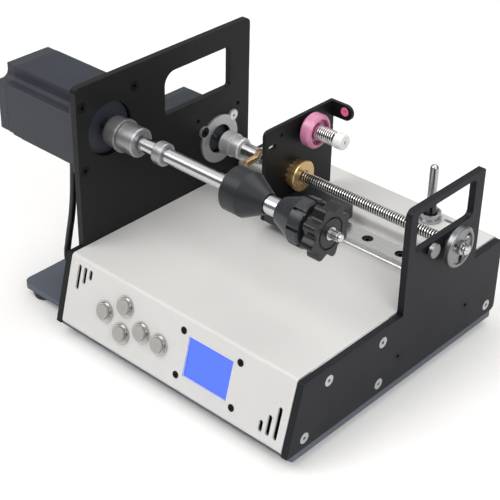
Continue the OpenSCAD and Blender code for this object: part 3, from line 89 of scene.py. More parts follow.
def edit_all(obj):
    """Opens the object in edit mode with everything selected."""
    only(obj)
    bpy.ops.object.mode_set(mode="EDIT")
    bpy.ops.mesh.select_all(action="SELECT")


def settle(obj):
    """Leaves edit mode and puts the object at the origin, its place in its mesh."""
    only(obj)
    bpy.ops.object.transform_apply(location=True, rotation=True, scale=True)


def apply_modifier(obj, kind, **settings):
    """Adds a modifier, sets it and applies it."""
    only(obj)
    modifier = obj.modifiers.new("shape", kind)
    for name, value in settings.items():
        setattr(modifier, name, value)
    bpy.ops.object.modifier_apply(modifier=modifier.name)


def clean(obj):
    """Merges doubled points and turns the faces outwards."""
    edit_all(obj)
    bpy.ops.mesh.remove_doubles(threshold=SAME_POINT)
    bpy.ops.mesh.normals_make_consistent(inside=False)
    bpy.ops.object.mode_set(mode="OBJECT")


def smooth(obj, degrees=38):
    """Shades the object smooth, apart from its sharp edges."""
    only(obj)
    bpy.ops.object.shade_smooth_by_angle(angle=math.radians(degrees))


def finish_piece(obj, material, node):
    """Gives a finished piece its material and the body of the node that it stands for, and hides that node."""
    obj.data.materials.clear()
    obj.data.materials.append(material)
    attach(obj, BODY_OF[node])
    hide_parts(node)
    return obj


def rounded_copy(node, material, radius_mm, segments=2, sharp=35, shade=38):
    """Copies a node, rounds its sharp edges, and lets the copy stand for it."""
    only(frame["nodes"][node])
    bpy.ops.object.duplicate()
    piece = bpy.context.object
    piece.name = piece.data.name = node + "_rounded"
    bpy.ops.object.parent_clear(type="CLEAR_KEEP_TRANSFORM")
    for key in list(piece.keys()):
        del piece[key]
    piece.data.materials.clear()
    settle(piece)
    bpy.ops.mesh.customdata_custom_splitnormals_clear()
    edit_all(piece)
    bpy.ops.mesh.remove_doubles(threshold=SAME_POINT)
    bpy.ops.mesh.dissolve_limited(angle_limit=math.radians(FLAT_DEGREES))
    bpy.ops.object.mode_set(mode="OBJECT")
    apply_modifier(piece, "BEVEL", width=radius_mm * MM, segments=segments, limit_method="ANGLE",
                   angle_limit=math.radians(sharp), use_clamp_overlap=True, miter_outer="MITER_ARC")
    smooth(piece, shade)
    apply_modifier(piece, "WEIGHTED_NORMAL", keep_sharp=True)
    return finish_piece(piece, material, node)


def dress(node, material):
    """Gives a node that keeps its own shape a better material."""
    obj = frame["nodes"][node]
    obj.data.materials.clear()
    obj.data.materials.append(material)


def drawn_line(name, points):
    """A line through points, drawn by extruding one vertex from place to place."""
    bpy.ops.object.select_all(action="DESELECT")
    bpy.ops.mesh.primitive_plane_add(size=MM, location=(0, 0, 0))
    obj = bpy.context.object
    obj.name = obj.data.name = name
    edit_all(obj)
    bpy.ops.mesh.merge(type="CENTER")
    bpy.ops.transform.translate(value=points[0])
    for before, after in zip(points, points[1:]):
        step = [b - a for a, b in zip(before, after)]
        bpy.ops.mesh.extrude_vertices_move(TRANSFORM_OT_translate={"value": step})
    bpy.ops.object.mode_set(mode="OBJECT")
    return obj


def turned(name, profile, y, z, steps=64):
    """A closed turned shape about an axis along X, from (place along X, radius) in metres."""
    obj = drawn_line(name, [(x, r, 0) for x, r in profile])
    edit_all(obj)
    bpy.ops.mesh.spin(steps=steps, angle=math.tau, center=(0, 0, 0), axis=(1, 0, 0))
    bpy.ops.object.mode_set(mode="OBJECT")
    obj.location = (0, y, z)
    settle(obj)
    clean(obj)
    return obj


def wound(name, profile, pitch, turns, y, z, steps):
    """Winds a line or ring, drawn in X and Y, round an axis along X and closes its ends."""
    profile.name = profile.data.name = name
    apply_modifier(profile, "SCREW", axis="X", angle=math.tau, screw_offset=pitch, iterations=turns, steps=steps,
                   render_steps=steps, use_merge_vertices=True, merge_threshold=SAME_POINT * 2)
    edit_all(profile)
    bpy.ops.mesh.remove_doubles(threshold=SAME_POINT * 2)
    bpy.ops.mesh.fill_holes(sides=400)
    bpy.ops.mesh.normals_make_consistent(inside=False)
    bpy.ops.object.mode_set(mode="OBJECT")
    profile.location = (0, y, z)
    settle(profile)
    return profile


def joined(parts):
    """Joins several objects into the first."""
    only(parts[0])
    for part in parts[1:]:
        part.select_set(True)
    bpy.ops.object.join()
    return parts[0]


# Helpers for materials

def linear(colour):
    """A hex colour, as seen on screen, as the linear colour that a shader takes."""
    channels = [int(colour[i:i + 2], 16) / 255 for i in (1, 3, 5)]
    return [c / 12.92 if c <= 0.04045 else ((c + 0.055) / 1.055) ** 2.4 for c in channels] + [1.0]


def add_node(tree, kind, links=None, **settings):
    """Adds a node, with its settings, and its inputs as values or as other nodes' outputs."""
    node = tree.nodes.new(kind)
    for name, value in settings.items():
        setattr(node, name, value)
    for name, value in (links or {}).items():
        if isinstance(value, bpy.types.NodeSocket):
            tree.links.new(value, node.inputs[name])
        else:
            node.inputs[name].default_value = value
    return node


def below_height(height):
    """Where a piece lies below this height: 1 there and 0 above."""
    def mask(tree, place):
        axes = add_node(tree, "ShaderNodeSeparateXYZ", {"Vector": place})
        under = add_node(tree, "ShaderNodeMath", {0: axes.outputs["Z"], 1: height}, operation="LESS_THAN")
        return under.outputs[0]
    return mask


def near_axis(y, z, root, crest, start, end):
    """Where a turned piece lies close to its axis, between two places along X: 1 at the root and 0 at the crest."""
    def mask(tree, place):
        axes = add_node(tree, "ShaderNodeSeparateXYZ", {"Vector": place})
        flat = add_node(tree, "ShaderNodeCombineXYZ", {"Y": axes.outputs["Y"], "Z": axes.outputs["Z"]})
        away = add_node(tree, "ShaderNodeVectorMath", {0: flat.outputs["Vector"], 1: (0, y, z)},
                        operation="DISTANCE")
        deep = add_node(tree, "ShaderNodeMapRange", {"Value": away.outputs["Value"], "From Min": root,
                                                     "From Max": crest, "To Min": 1.0, "To Max": 0.0})
        after = add_node(tree, "ShaderNodeMath", {0: axes.outputs["X"], 1: start}, operation="GREATER_THAN")
        before = add_node(tree, "ShaderNodeMath", {0: axes.outputs["X"], 1: end}, operation="LESS_THAN")
        between = add_node(tree, "ShaderNodeMath", {0: after.outputs[0], 1: before.outputs[0]},
                           operation="MULTIPLY")
        share = add_node(tree, "ShaderNodeMath", {0: deep.outputs["Result"], 1: between.outputs[0]},
                         operation="MULTIPLY")
        return share.outputs[0]
    return mask


BROAD_SHARE = 0.45          # share of the broad unevenness in a finish, the rest is its fine grain
TINT_RANGE = (0.35, 0.65)   # part of the pattern over which the colour goes from deep to pale
WORN_RANGE = (0.3, 0.7)     # the same for the roughness
COAT_ROUGHNESS = 0.12       # of a clear glaze


def finish(name, colour, rough, grain_mm, relief_mm, metallic=0.0, stretch=(1, 1, 1), tint=0.08, spread=0.07,
           patch_mm=40, coat=0.0, shine=0.5, emission=None, strength=0.0, darker=None, dark="#1a1a1b"):
    """A material with a fine grain, a broad unevenness and a little relief, all in real sizes."""
    material = bpy.data.materials.new(name)
    material.use_nodes = True
    tree = material.node_tree
    tree.nodes.clear()
    place = add_node(tree, "ShaderNodeTexCoord")
    drawn = add_node(tree, "ShaderNodeMapping", {"Vector": place.outputs["Object"], "Scale": stretch})
    fine = add_node(tree, "ShaderNodeTexNoise", {"Vector": drawn.outputs["Vector"], "Scale": 1 / (grain_mm * MM),
                                                 "Detail": 3.0, "Roughness": 0.6})
    broad = add_node(tree, "ShaderNodeTexNoise", {"Vector": place.outputs["Object"], "Scale": 1 / (patch_mm * MM),
                                                  "Detail": 2.0})
    both = add_node(tree, "ShaderNodeMix", {"Factor": BROAD_SHARE, "A": fine.outputs["Fac"],
                                            "B": broad.outputs["Fac"]})
    base = linear(colour)
    deep = [c * (1 - tint) for c in base[:3]] + [1.0]
    pale = [min(1.0, c * (1 + tint)) for c in base[:3]] + [1.0]
    shade = add_node(tree, "ShaderNodeValToRGB", {"Fac": both.outputs["Result"]})
    for stop, position, tone in zip(shade.color_ramp.elements, TINT_RANGE, (deep, pale)):
        stop.position, stop.color = position, tone
    worn = add_node(tree, "ShaderNodeMapRange", {
        "Value": both.outputs["Result"], "From Min": WORN_RANGE[0], "From Max": WORN_RANGE[1],
        "To Min": max(0.02, rough - spread), "To Max": rough + spread})
    relief = add_node(tree, "ShaderNodeBump", {"Height": fine.outputs["Fac"], "Distance": relief_mm * MM,
                                               "Strength": 1.0})
    paint = shade.outputs["Color"]
    if darker:
        paint = add_node(tree, "ShaderNodeMixRGB", {"Fac": darker(tree, place.outputs["Object"]), "Color1": paint,
                                                    "Color2": linear(dark)}).outputs["Color"]
    shader = add_node(tree, "ShaderNodeBsdfPrincipled", {
        "Base Color": paint, "Roughness": worn.outputs["Result"], "Metallic": metallic,
        "Normal": relief.outputs["Normal"], "Coat Weight": coat, "Coat Roughness": COAT_ROUGHNESS,
        "Specular IOR Level": shine})
    if emission:
        shader.inputs["Emission Color"].default_value = linear(emission)
        shader.inputs["Emission Strength"].default_value = strength
    add_node(tree, "ShaderNodeOutputMaterial", {"Surface": shader.outputs["BSDF"]})
    return material


ALONG_X = (1, 0.04, 0.04)
ALONG_Z = (0.04, 0.04, 1)
BRUSHED_X = (0.03, 1, 1)

# Baked powder paint on sheet steel: even, satin, with a very fine orange peel. The peel is drawn coarser than
# the real 0.2 mm so that it shows.
BLACK_COAT = finish("black_powder_coat", "#151617", 0.44, 0.5, 0.006, tint=0.12, shine=0.22)
DARK_COAT = finish("dark_grey_powder_coat", "#181a20", 0.44, 0.5, 0.006, tint=0.1, shine=0.2)
GREY_COAT = finish("grey_powder_coat", "#565c68", 0.48, 0.5, 0.006, tint=0.08)
WHITE_COAT = finish("warm_white_powder_coat", "#dadad9", 0.42, 0.5, 0.004, tint=0.012, spread=0.04)
# Painted steel laminations and castings of a motor: satin, a little streaked along its length.
MOTOR_PAINT = finish("satin_motor_enamel", "#2c3039", 0.42, 0.6, 0.008, stretch=(0.2, 1, 1), tint=0.12, shine=0.35)
CAP_PAINT = finish("cast_cap_enamel", "#373a42", 0.5, 0.7, 0.02, tint=0.12, shine=0.35)
# Turned bright steel: fine rings left by the tool, which draw the highlight out along the piece.
BRIGHT_STEEL = finish("turned_bright_steel", "#c9cacc", 0.2, 0.25, 0.0015, metallic=1.0, stretch=ALONG_X, tint=0.1)
POST_STEEL = finish("turned_post_steel", "#aeafb1", 0.2, 0.25, 0.0015, metallic=1.0, stretch=ALONG_Z, tint=0.1)
# The rod's flared seat is blackened, up to a little above the base.
ROD_STEEL = finish("turned_rod_steel", "#b2b3b5", 0.2, 0.25, 0.0015, metallic=1.0, stretch=ALONG_Z, tint=0.1,
                   darker=below_height(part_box("post_base")[1][2] + 6.4 * MM), dark="#4a4b4e")
# Ground rail steel: long scratches along the rail.
GROUND_STEEL = finish("ground_rail_steel", "#c6c6c5", 0.27, 0.3, 0.0006, metallic=1.0, stretch=BRUSHED_X, tint=0.04)
# Rolled thread: bright crests over darker roots, painted darker partly for their oil and partly as painted shade in
# the roots.
screw_axis = [(a + b) / 2 for a, b in zip(*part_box("handwheel"))]
THREAD_STEEL = finish("rolled_thread_steel", "#d6d6d5", 0.26, 0.4, 0.002, metallic=1.0, tint=0.1,
                      darker=near_axis(screw_axis[1], screw_axis[2], 3.1 * MM, 3.85 * MM,
                                       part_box("lead_screw")[0][0] + (JOURNAL_MM + 0.1) * MM,
                                       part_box("handwheel")[0][0]),
                      dark="#2e2e2f")
# Turned aluminium: paler and softer than steel. The traverse coupling's is painted paler still, as painted light
# for the shade in which it sits.
ALUMINIUM = finish("turned_aluminium", "#9fa0a2", 0.34, 0.3, 0.003, metallic=0.85, stretch=ALONG_X, tint=0.08)
PALE_ALUMINIUM = finish("aluminium_painted_paler", "#e0e0e1", 0.4, 0.3, 0.003, metallic=0.7, stretch=ALONG_X,
                        tint=0.08)
WHEEL_ALUMINIUM = finish("satin_wheel_aluminium", "#8d8e90", 0.32, 0.35, 0.003, metallic=0.9, tint=0.08)
# The ring's aluminium is painted pale, as painted light for the shade in which the ring sits.
RING_ALUMINIUM = finish("satin_aluminium", "#bfc0c2", 0.38, 0.35, 0.003, metallic=0.8, tint=0.08)
# Black oxide on steel screws: nearly black, with a weak sheen.
BLACK_STEEL = finish("black_oxide_steel", "#0d0d0e", 0.4, 0.3, 0.004, metallic=0.3, tint=0.15, shine=0.22)
# Turned brass: warm and bright, its rings drawn along the axis.
BRASS = finish("turned_brass", "#ecca92", 0.28, 0.3, 0.001, metallic=0.85, stretch=ALONG_X, tint=0.07)
# Drawn and plated wire: smooth and almost white.
SPRING_WIRE = finish("bright_spring_wire", "#e9e9e8", 0.18, 0.3, 0.001, metallic=1.0, tint=0.04)
# Moulded engineering plastics: a fine spark-eroded grain.
CONE_PLASTIC = finish("moulded_black_acetal", "#232529", 0.4, 0.45, 0.012, tint=0.1, shine=0.35)
TAIL_PLASTIC = finish("polished_black_acetal", "#303238", 0.3, 0.45, 0.008, tint=0.1, shine=0.4)
KNOB_PLASTIC = finish("moulded_black_nylon", "#17181a", 0.27, 0.5, 0.012, tint=0.12, shine=0.35)
SADDLE_PLASTIC = finish("machined_black_acetal", "#2d2f33", 0.4, 0.4, 0.01, tint=0.1)
CASE_PLASTIC = finish("black_abs", "#1d1e20", 0.45, 0.5, 0.01, tint=0.12)
# Moulded button caps and their plated rings: pale greys, the ring a mirror of the room.
BUTTON_PLASTIC = finish("grey_button_plastic", "#a6a5a1", 0.36, 0.4, 0.006, tint=0.03)
BUTTON_METAL = finish("plated_button_ring", "#b9b9b7", 0.2, 0.3, 0.002, metallic=1.0, tint=0.05)
# White acetal turned from rod: even, with a soft highlight.
WHITE_PLASTIC = finish("white_acetal", "#f1f1ef", 0.3, 0.4, 0.004, tint=0.015)
# Glazed ceramic: smooth and glossy under a clear coat.
# The dish round the disc's hub is painted a deeper pink, as painted shade for the shade that it lies in.
disc_low, disc_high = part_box("tension_disc")
PINK_GLAZE = finish("glazed_pink_ceramic", "#d486ab", 0.28, 0.8, 0.002, tint=0.05, coat=0.6,
                    darker=near_axis((disc_low[1] + disc_high[1]) / 2, (disc_low[2] + disc_high[2]) / 2, 9.6 * MM,
                                     9.8 * MM, disc_high[0] - 3.7 * MM, disc_high[0] - 1.15 * MM),
                    dark="#a9557f")
EYELET_GLAZE = finish("glazed_deep_pink_ceramic", "#f77aa8", 0.25, 0.8, 0.002, tint=0.05, coat=0.6)
# Dull black rubber, the satin jacket of a cable, and the solder mask of a board under its clear lacquer.
RUBBER = finish("moulded_rubber", "#1c1d1f", 0.62, 0.4, 0.02, tint=0.15)
CABLE = finish("extruded_cable_jacket", "#17181a", 0.4, 0.8, 0.006, tint=0.1)
BOARD = finish("green_solder_mask", "#1d6642", 0.38, 1.2, 0.03, tint=0.2, coat=0.3)
# Backlit window: its light comes from behind, so it glows a little and has a smooth clear face.
BLUE_WINDOW = finish("backlit_blue_window", "#2f4fd0", 0.2, 1.0, 0.0, tint=0.04, coat=0.3, emission="#4b74ff",
                     strength=0.58)


class SpoolerSizes(bpy.types.PropertyGroup):
    """Sizes of the detail that the frame doesn't hold."""
    sheet_edge: bpy.props.FloatProperty(name="Sheet edge", description="Rounding of the painted sheets' edges",
                                        default=0.75 * MM, min=0.0, unit="LENGTH")
    turned_edge: bpy.props.FloatProperty(name="Turned edge", description="Rounding of the turned pieces' edges",
                                         default=0.3 * MM, min=0.0, unit="LENGTH")
    knob_edge: bpy.props.FloatProperty(name="Knob edge", description="Rounding of the star knob's lobes",
                                       default=0.9 * MM, min=0.0, unit="LENGTH")
    thread_depth: bpy.props.FloatProperty(name="Thread depth", description="Depth of the lead screw's thread",
                                          default=0.95 * MM, min=0.0, unit="LENGTH")
    thread_pitch: bpy.props.FloatProperty(name="Thread pitch", description="Pitch of the lead screw's thread",
                                          default=2.0 * MM, min=0.2 * MM, unit="LENGTH")
    stud_depth: bpy.props.FloatProperty(name="Stud thread depth", description="Depth of the knob stud's thread",
                                        default=0.55 * MM, min=0.0, unit="LENGTH")
    stud_pitch: bpy.props.FloatProperty(name="Stud thread pitch", description="Pitch of the knob stud's thread",
                                        default=1.0 * MM, min=0.2 * MM, unit="LENGTH")
    wire: bpy.props.FloatProperty(name="Spring wire", description="Radius of the tension spring's wire",
                                  default=0.45 * MM, min=0.1 * MM, unit="LENGTH")


class SpoolerColours(bpy.types.PropertyGroup):
    """Colours of the stage."""
    floor: bpy.props.FloatVectorProperty(name="Floor", description="Colour of the floor", subtype="COLOR", size=4,
                                         default=linear("#fafafa"), min=0.0, max=1.0)
    lamp: bpy.props.FloatVectorProperty(name="Lamps", description="Colour of the lamps", subtype="COLOR", size=3,
                                        default=linear("#fffdfa")[:3], min=0.0, max=1.0)


class SPOOLER_OT_stage(bpy.types.Operator):
    """Camera, floor, lamps and world"""
    bl_idname = "spooler.stage"
    bl_label = "Stage"

    camera_place = (0.53757, -0.59801, 0.56598)
    camera_right = (0.738567, 0.673967, 0.016935)
    camera_up = (-0.374225, 0.388943, 0.841831)
    camera_back = (0.560780, -0.628086, 0.539476)
    camera_lens = 96.737
    lamps = (
        # name, place, power in watts, size
        ("key_softbox", (-0.55, -1.0, 1.55), 16.0, 1.3),
        ("right_softbox", (1.5, -0.5, 1.1), 12.2, 1.2),
        ("top_softbox", (0.1, 0.6, 1.7), 11.0, 1.6),
    )
    floor_lift = 0.11           # light that the floor gives off to the camera alone
    sky_light = 0.36            # light of the room on matt faces
    # Tones that polished faces mirror, from the level upwards, as (height, colour)
    mirror_bands = ((0.0, "#4a4a4c"), (0.16, "#9c9d9f"), (0.3, "#68686a"), (0.4, "#747476"), (0.5, "#e6e6e6"),
                    (0.75, "#ffffff"))

    def execute(self, context):
        bpy.ops.object.select_all(action="DESELECT")
        bpy.ops.object.camera_add(location=self.camera_place)
        camera = context.object
        camera.name = "photo_camera"
        turn = Matrix((self.camera_right, self.camera_up, self.camera_back)).transposed().to_4x4()
        camera.matrix_world = Matrix.Translation(self.camera_place) @ turn
        camera.data.sensor_width = 36
        camera.data.lens = self.camera_lens
        camera.data.dof.use_dof = False
        context.scene.camera = camera

        bpy.ops.mesh.primitive_plane_add(size=12, location=(0, 0, -0.0002))
        floor = context.object
        floor.name = "floor"
        floor.data.materials.append(self.floor_material(context.scene.spooler_colours))

        for name, place, power, size in self.lamps:
            bpy.ops.object.light_add(type="AREA", location=place)
            lamp = context.object
            lamp.name = name
            lamp.data.shape = "DISK"
            lamp.data.size = size
            lamp.data.energy = power
            lamp.data.color = context.scene.spooler_colours.lamp
            lamp.rotation_euler = (Vector((0, 0, 0.06)) - Vector(place)).to_track_quat("-Z", "Y").to_euler()
        self.world()
        context.scene.view_settings.view_transform = "Standard"
        return {"FINISHED"}

    def floor_material(self, colours):
        """Matt white floor, lifted a little where the camera sees it, so that it keeps the shadow."""
        material = bpy.data.materials.new("matt_white_floor")
        material.use_nodes = True
        tree = material.node_tree
        tree.nodes.clear()
        ray = add_node(tree, "ShaderNodeLightPath")
        seen = add_node(tree, "ShaderNodeMath", {0: ray.outputs["Is Camera Ray"], 1: self.floor_lift},
                        operation="MULTIPLY")
        plain = add_node(tree, "ShaderNodeBsdfDiffuse", {"Color": list(colours.floor)})
        lift = add_node(tree, "ShaderNodeEmission", {"Color": (1, 1, 1, 1), "Strength": seen.outputs["Value"]})
        both = add_node(tree, "ShaderNodeAddShader", {0: plain.outputs["BSDF"], 1: lift.outputs["Emission"]})
        add_node(tree, "ShaderNodeOutputMaterial", {"Surface": both.outputs["Shader"]})
        return material

    def world(self):
        """A white studio: white to the camera, and in bands of white and grey where metal mirrors it."""
        world = bpy.data.worlds.new("studio")
        bpy.context.scene.world = world
        world.use_nodes = True
        tree = world.node_tree
        tree.nodes.clear()
        ray = add_node(tree, "ShaderNodeLightPath")
        place = add_node(tree, "ShaderNodeTexCoord")
        axes = add_node(tree, "ShaderNodeSeparateXYZ", {"Vector": place.outputs["Generated"]})
        bands = add_node(tree, "ShaderNodeValToRGB", {"Fac": axes.outputs["Z"]})
        stops = bands.color_ramp.elements
        for height, tone in self.mirror_bands[2:]:
            stops.new(height)
        for stop, (height, tone) in zip(stops, self.mirror_bands):
            stop.position, stop.color = height, linear(tone)
        mirrored = add_node(tree, "ShaderNodeBackground", {"Color": bands.outputs["Color"], "Strength": 1.0})
        diffuse = add_node(tree, "ShaderNodeBackground", {"Color": (1, 1, 1, 1), "Strength": self.sky_light})
        shown = add_node(tree, "ShaderNodeBackground", {"Color": (1, 1, 1, 1), "Strength": 1.0})
        glossy = add_node(tree, "ShaderNodeMath", {0: ray.outputs["Is Glossy Ray"],
                                                   1: ray.outputs["Is Transmission Ray"]}, operation="MAXIMUM")
        other = add_node(tree, "ShaderNodeMixShader", {0: glossy.outputs["Value"], 1: diffuse.outputs["Background"],
                                                       2: mirrored.outputs["Background"]})
        whole = add_node(tree, "ShaderNodeMixShader", {0: ray.outputs["Is Camera Ray"], 1: other.outputs["Shader"],
                                                       2: shown.outputs["Background"]})
        add_node(tree, "ShaderNodeOutputWorld", {"Surface": whole.outputs["Shader"]})


# Routes of the two motor leads, in millimetres from the left plate's inner corner, as (X, Z) at one Y
LEAD_ORIGIN = (-70.5, -114.45, 11.5)
SPINDLE_LEAD = [(-33, 105.1), (-33, 97), (-34, 83), (-35.5, 68), (-38, 53), (-41.2, 39), (-44.2, 26), (-46, 16),
                (-45.2, 9.8), (-41.8, 5.6), (-36, 4), (-27, 4.6), (-17, 7), (-9, 8), (24, 8)]
TRAVERSE_LEAD = [(-38, 66), (-38, 56), (-39, 44), (-40.5, 32), (-40.5, 20), (-39.2, 12), (-35.4, 6.6), (-29, 4.3),
                 (-20, 6), (-9, 8), (24, 8)]


# Each lead's name, route, place along Y in millimetres and length in metres
LEADS = (("spindle_lead", SPINDLE_LEAD, 47, 0.169), ("traverse_lead", TRAVERSE_LEAD, 150, 0.124))
LEAD_RADIUS = 2.5 * MM


class SPOOLER_OT_leads(bpy.types.Operator):
    """Two motor leads that hang to the shelf and pass through the left plate"""
    bl_idname = "spooler.leads"
    bl_label = "Motor leads"

    def execute(self, context):
        for name, route, y, length in LEADS:
            curve = bpy.data.curves.new(name, "CURVE")
            curve.dimensions = "3D"
            curve.bevel_depth = LEAD_RADIUS
            curve.bevel_resolution = 5
            curve.use_fill_caps = True
            curve.resolution_u = 8
            spline = curve.splines.new("BEZIER")
            spline.bezier_points.add(len(route) - 1)
            points = [Vector((x + LEAD_ORIGIN[0], y + LEAD_ORIGIN[1], z + LEAD_ORIGIN[2])) * MM
                      for x, z in route]
            for point, place in zip(spline.bezier_points, points):
                point.co = place
                point.handle_left_type = point.handle_right_type = "AUTO"
            lead = bpy.data.objects.new(name, curve)
            context.collection.objects.link(lead)
            curve.materials.append(CABLE)
            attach(lead, "frame")
            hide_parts("motor_leads")
        return {"FINISHED"}


class SPOOLER_OT_sheets(bpy.types.Operator):
    """Base plate, side plates and cover, with the soft edges of painted sheet"""
    bl_idname = "spooler.sheets"
    bl_label = "Painted sheets"

    def execute(self, context):
        edge = context.scene.spooler_sizes.sheet_edge / MM
        rounded_copy("base_plate", GREY_COAT, edge)
        rounded_copy("left_plate", BLACK_COAT, edge)
        rounded_copy("right_plate", DARK_COAT, edge)
        rounded_copy("cover", WHITE_COAT, edge * 0.5)
        rounded_copy("rubber_feet", RUBBER, edge)
        return {"FINISHED"}


class SPOOLER_OT_motors(bpy.types.Operator):
    """Both motors with their end caps"""
    bl_idname = "spooler.motors"
    bl_label = "Motors"

    def execute(self, context):
        edge = context.scene.spooler_sizes.sheet_edge / MM
        for node, material in (("spindle_motor_body", MOTOR_PAINT), ("spindle_motor_end_cap", CAP_PAINT),
                               ("traverse_motor_body", MOTOR_PAINT), ("traverse_motor_end_cap", CAP_PAINT)):
            rounded_copy(node, material, edge, segments=3)
        return {"FINISHED"}


def threaded_part(name, start, end, radius, depth, pitch, y, z, steps=28):
    """A helical thread about an axis along X, its ends closed."""
    root = radius - depth
    share = (0.0, 0.18, 0.34, 0.66, 0.82, 1.0)
    heights = (root, root, radius, radius, root, root)
    turns = int((end - start) / pitch)
    line = drawn_line(name, [(start + pitch * k, r, 0) for k, r in zip(share, heights)])
    return wound(name, line, pitch, turns - 1, y, z, steps)


class SPOOLER_OT_spindle(bpy.types.Operator):
    """Spindle shaft with its threaded end, coupling, collar and cones"""
    bl_idname = "spooler.spindle"
    bl_label = "Spindle"

    # Of the shaft: radii of its body and stud, where its wider seat starts, and the stud's length
    body = 5.0 * MM
    stud = 3.0 * MM
    seat_start = 104.94 * MM
    stud_length = 29 * MM
    neck = 3 * MM               # plain start of the stud
    cut = 0.3 * MM              # cut of its edges

    def execute(self, context):
        sizes = context.scene.spooler_sizes
        edge = sizes.turned_edge / MM
        rounded_copy("spindle_coupling", ALUMINIUM, edge)
        rounded_copy("set_collar", ALUMINIUM, edge)
        rounded_copy("drive_cone", CONE_PLASTIC, edge * 1.5, sharp=60, shade=18)
        rounded_copy("tail_cone", TAIL_PLASTIC, edge * 1.2, shade=18)
        self.shaft(sizes)
        return {"FINISHED"}

    def shaft(self, sizes):
        """The bright shaft: its plain body, its wider seat and the thread for the knob."""
        low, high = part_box("spindle_shaft")
        y, z = (low[1] + high[1]) / 2, (low[2] + high[2]) / 2
        seat = (high[2] - low[2]) / 2
        body, stud, cut = self.body, self.stud, self.cut
        step, seat_end, tip = low[0] + self.seat_start, high[0] - self.stud_length, high[0]
        neck_end = seat_end + self.neck
        plain = turned("shaft_body", [
            (low[0], 0), (low[0], body - cut), (low[0] + cut, body), (step, body), (step, seat - cut),
            (step + cut, seat), (seat_end - cut, seat), (seat_end, seat - cut), (seat_end, stud),
            (seat_end + 2 * MM, stud), (neck_end, stud - sizes.stud_depth), (neck_end, 0)],
            y, z, steps=96)
        thread = threaded_part("shaft_thread", seat_end + 2.5 * MM, tip - 1.2 * MM, stud, sizes.stud_depth,
                               sizes.stud_pitch, y, z)
        end = turned("shaft_tip", [
            (tip - 2.4 * MM, 0), (tip - 2.4 * MM, stud - sizes.stud_depth * 1.2),
            (tip - 1.6 * MM, stud - sizes.stud_depth * 0.5), (tip - 0.9 * MM, stud - sizes.stud_depth * 0.5),
            (tip, stud - 1 * MM), (tip, 0)], y, z)
        piece = joined([plain, thread, end])
        piece.name = piece.data.name = "spindle_shaft_turned"
        smooth(piece, 30)
        finish_piece(piece, BRIGHT_STEEL, "spindle_shaft")


class SPOOLER_OT_knob(bpy.types.Operator):
    """Star knob with its steel insert"""
    bl_idname = "spooler.knob"
    bl_label = "Star knob"

    def execute(self, context):
        sizes = context.scene.spooler_sizes
        rounded_copy("star_knob", KNOB_PLASTIC, sizes.knob_edge / MM, segments=4, sharp=50)
        rounded_copy("knob_insert", BRIGHT_STEEL, sizes.turned_edge / MM)
        return {"FINISHED"}


class SPOOLER_OT_traverse(bpy.types.Operator):
    """Lead screw with its thread, ring, coupling, key and handwheel"""
    bl_idname = "spooler.traverse"
    bl_label = "Traverse drive"

    journal = 5.8 * MM          # radius of the journal
    thread = 4.0 * MM           # outer radius of the thread
    cut = 0.4 * MM              # cut of the journal's edge
    notch_gap = 0.05 * MM       # room round the key in its notch
    notch_reach = 9 * MM        # how far the notch's tool goes past the axis, out of the journal

    def execute(self, context):
        sizes = context.scene.spooler_sizes
        edge = sizes.turned_edge / MM
        rounded_copy("adapter_ring", RING_ALUMINIUM, edge)
        rounded_copy("traverse_coupling", PALE_ALUMINIUM, edge)
        rounded_copy("drive_key", BRASS, edge * 1.5)
        rounded_copy("handwheel", WHEEL_ALUMINIUM, edge * 1.5)
        rounded_copy("screw_bushing", BRIGHT_STEEL, edge)
        self.screw(sizes)
        return {"FINISHED"}

    def screw(self, sizes):
        """The lead screw: a journal with a notch for the key, then the rolled thread."""
        low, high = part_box("lead_screw")
        y, z = screw_axis[1:]
        journal, screw, cut = self.journal, self.thread, self.cut
        journal_end = low[0] + JOURNAL_MM * MM
        key_low, key_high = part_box("drive_key")
        stub = turned("screw_journal", [
            (low[0], 0), (low[0], journal), (journal_end - cut, journal), (journal_end, journal - cut),
            (journal_end, 0)], y, z, steps=96)
        notch = drawn_box("key_notch", (key_low[0] - self.notch_gap, y - 8 * MM, key_low[2]),
                          (key_high[0] + self.notch_gap, key_high[1] + self.notch_gap, z + self.notch_reach))
        apply_modifier(stub, "BOOLEAN", operation="DIFFERENCE", solver="EXACT", object=notch)
        bpy.data.objects.remove(notch)
        thread = threaded_part("screw_thread", journal_end - 1.5 * MM, high[0] - 1.0 * MM, screw,
                               sizes.thread_depth, sizes.thread_pitch, y, z)
        tip = high[0]
        end = turned("screw_tip", [
            (tip - 3.2 * MM, 0), (tip - 3.2 * MM, screw - sizes.thread_depth * 1.2),
            (tip - 2 * MM, screw - sizes.thread_depth * 0.4), (tip - 0.9 * MM, screw - sizes.thread_depth * 0.4),
            (tip, screw - 1.4 * MM), (tip, 0)], y, z)
        piece = joined([stub, thread, end])
        piece.name = piece.data.name = "lead_screw_threaded"
        smooth(piece, 30)
        finish_piece(piece, THREAD_STEEL, "lead_screw")


def drawn_box(name, low, high):
    """A box between two corners, for cutting."""
    bpy.ops.object.select_all(action="DESELECT")
    bpy.ops.mesh.primitive_cube_add(size=1, location=[(a + b) / 2 for a, b in zip(low, high)])
    obj = bpy.context.object
    obj.name = name
    obj.scale = [b - a for a, b in zip(low, high)]
    settle(obj)
    return obj


class SPOOLER_OT_carriage(bpy.types.Operator):
    """Rail, saddle, carriage plate, nut and eyelet"""
    bl_idname = "spooler.carriage"
    bl_label = "Carriage"

    def execute(self, context):
        sizes = context.scene.spooler_sizes
        sheet, edge = sizes.sheet_edge / MM, sizes.turned_edge / MM
        rounded_copy("rail", GROUND_STEEL, edge)
        rounded_copy("saddle", SADDLE_PLASTIC, sheet)
        rounded_copy("slider_block", GROUND_STEEL, edge)
        rounded_copy("carriage_plate", BLACK_COAT, sheet)
        rounded_copy("traverse_nut", BRASS, edge)
        rounded_copy("guide_eyelet", EYELET_GLAZE, edge)
        return {"FINISHED"}


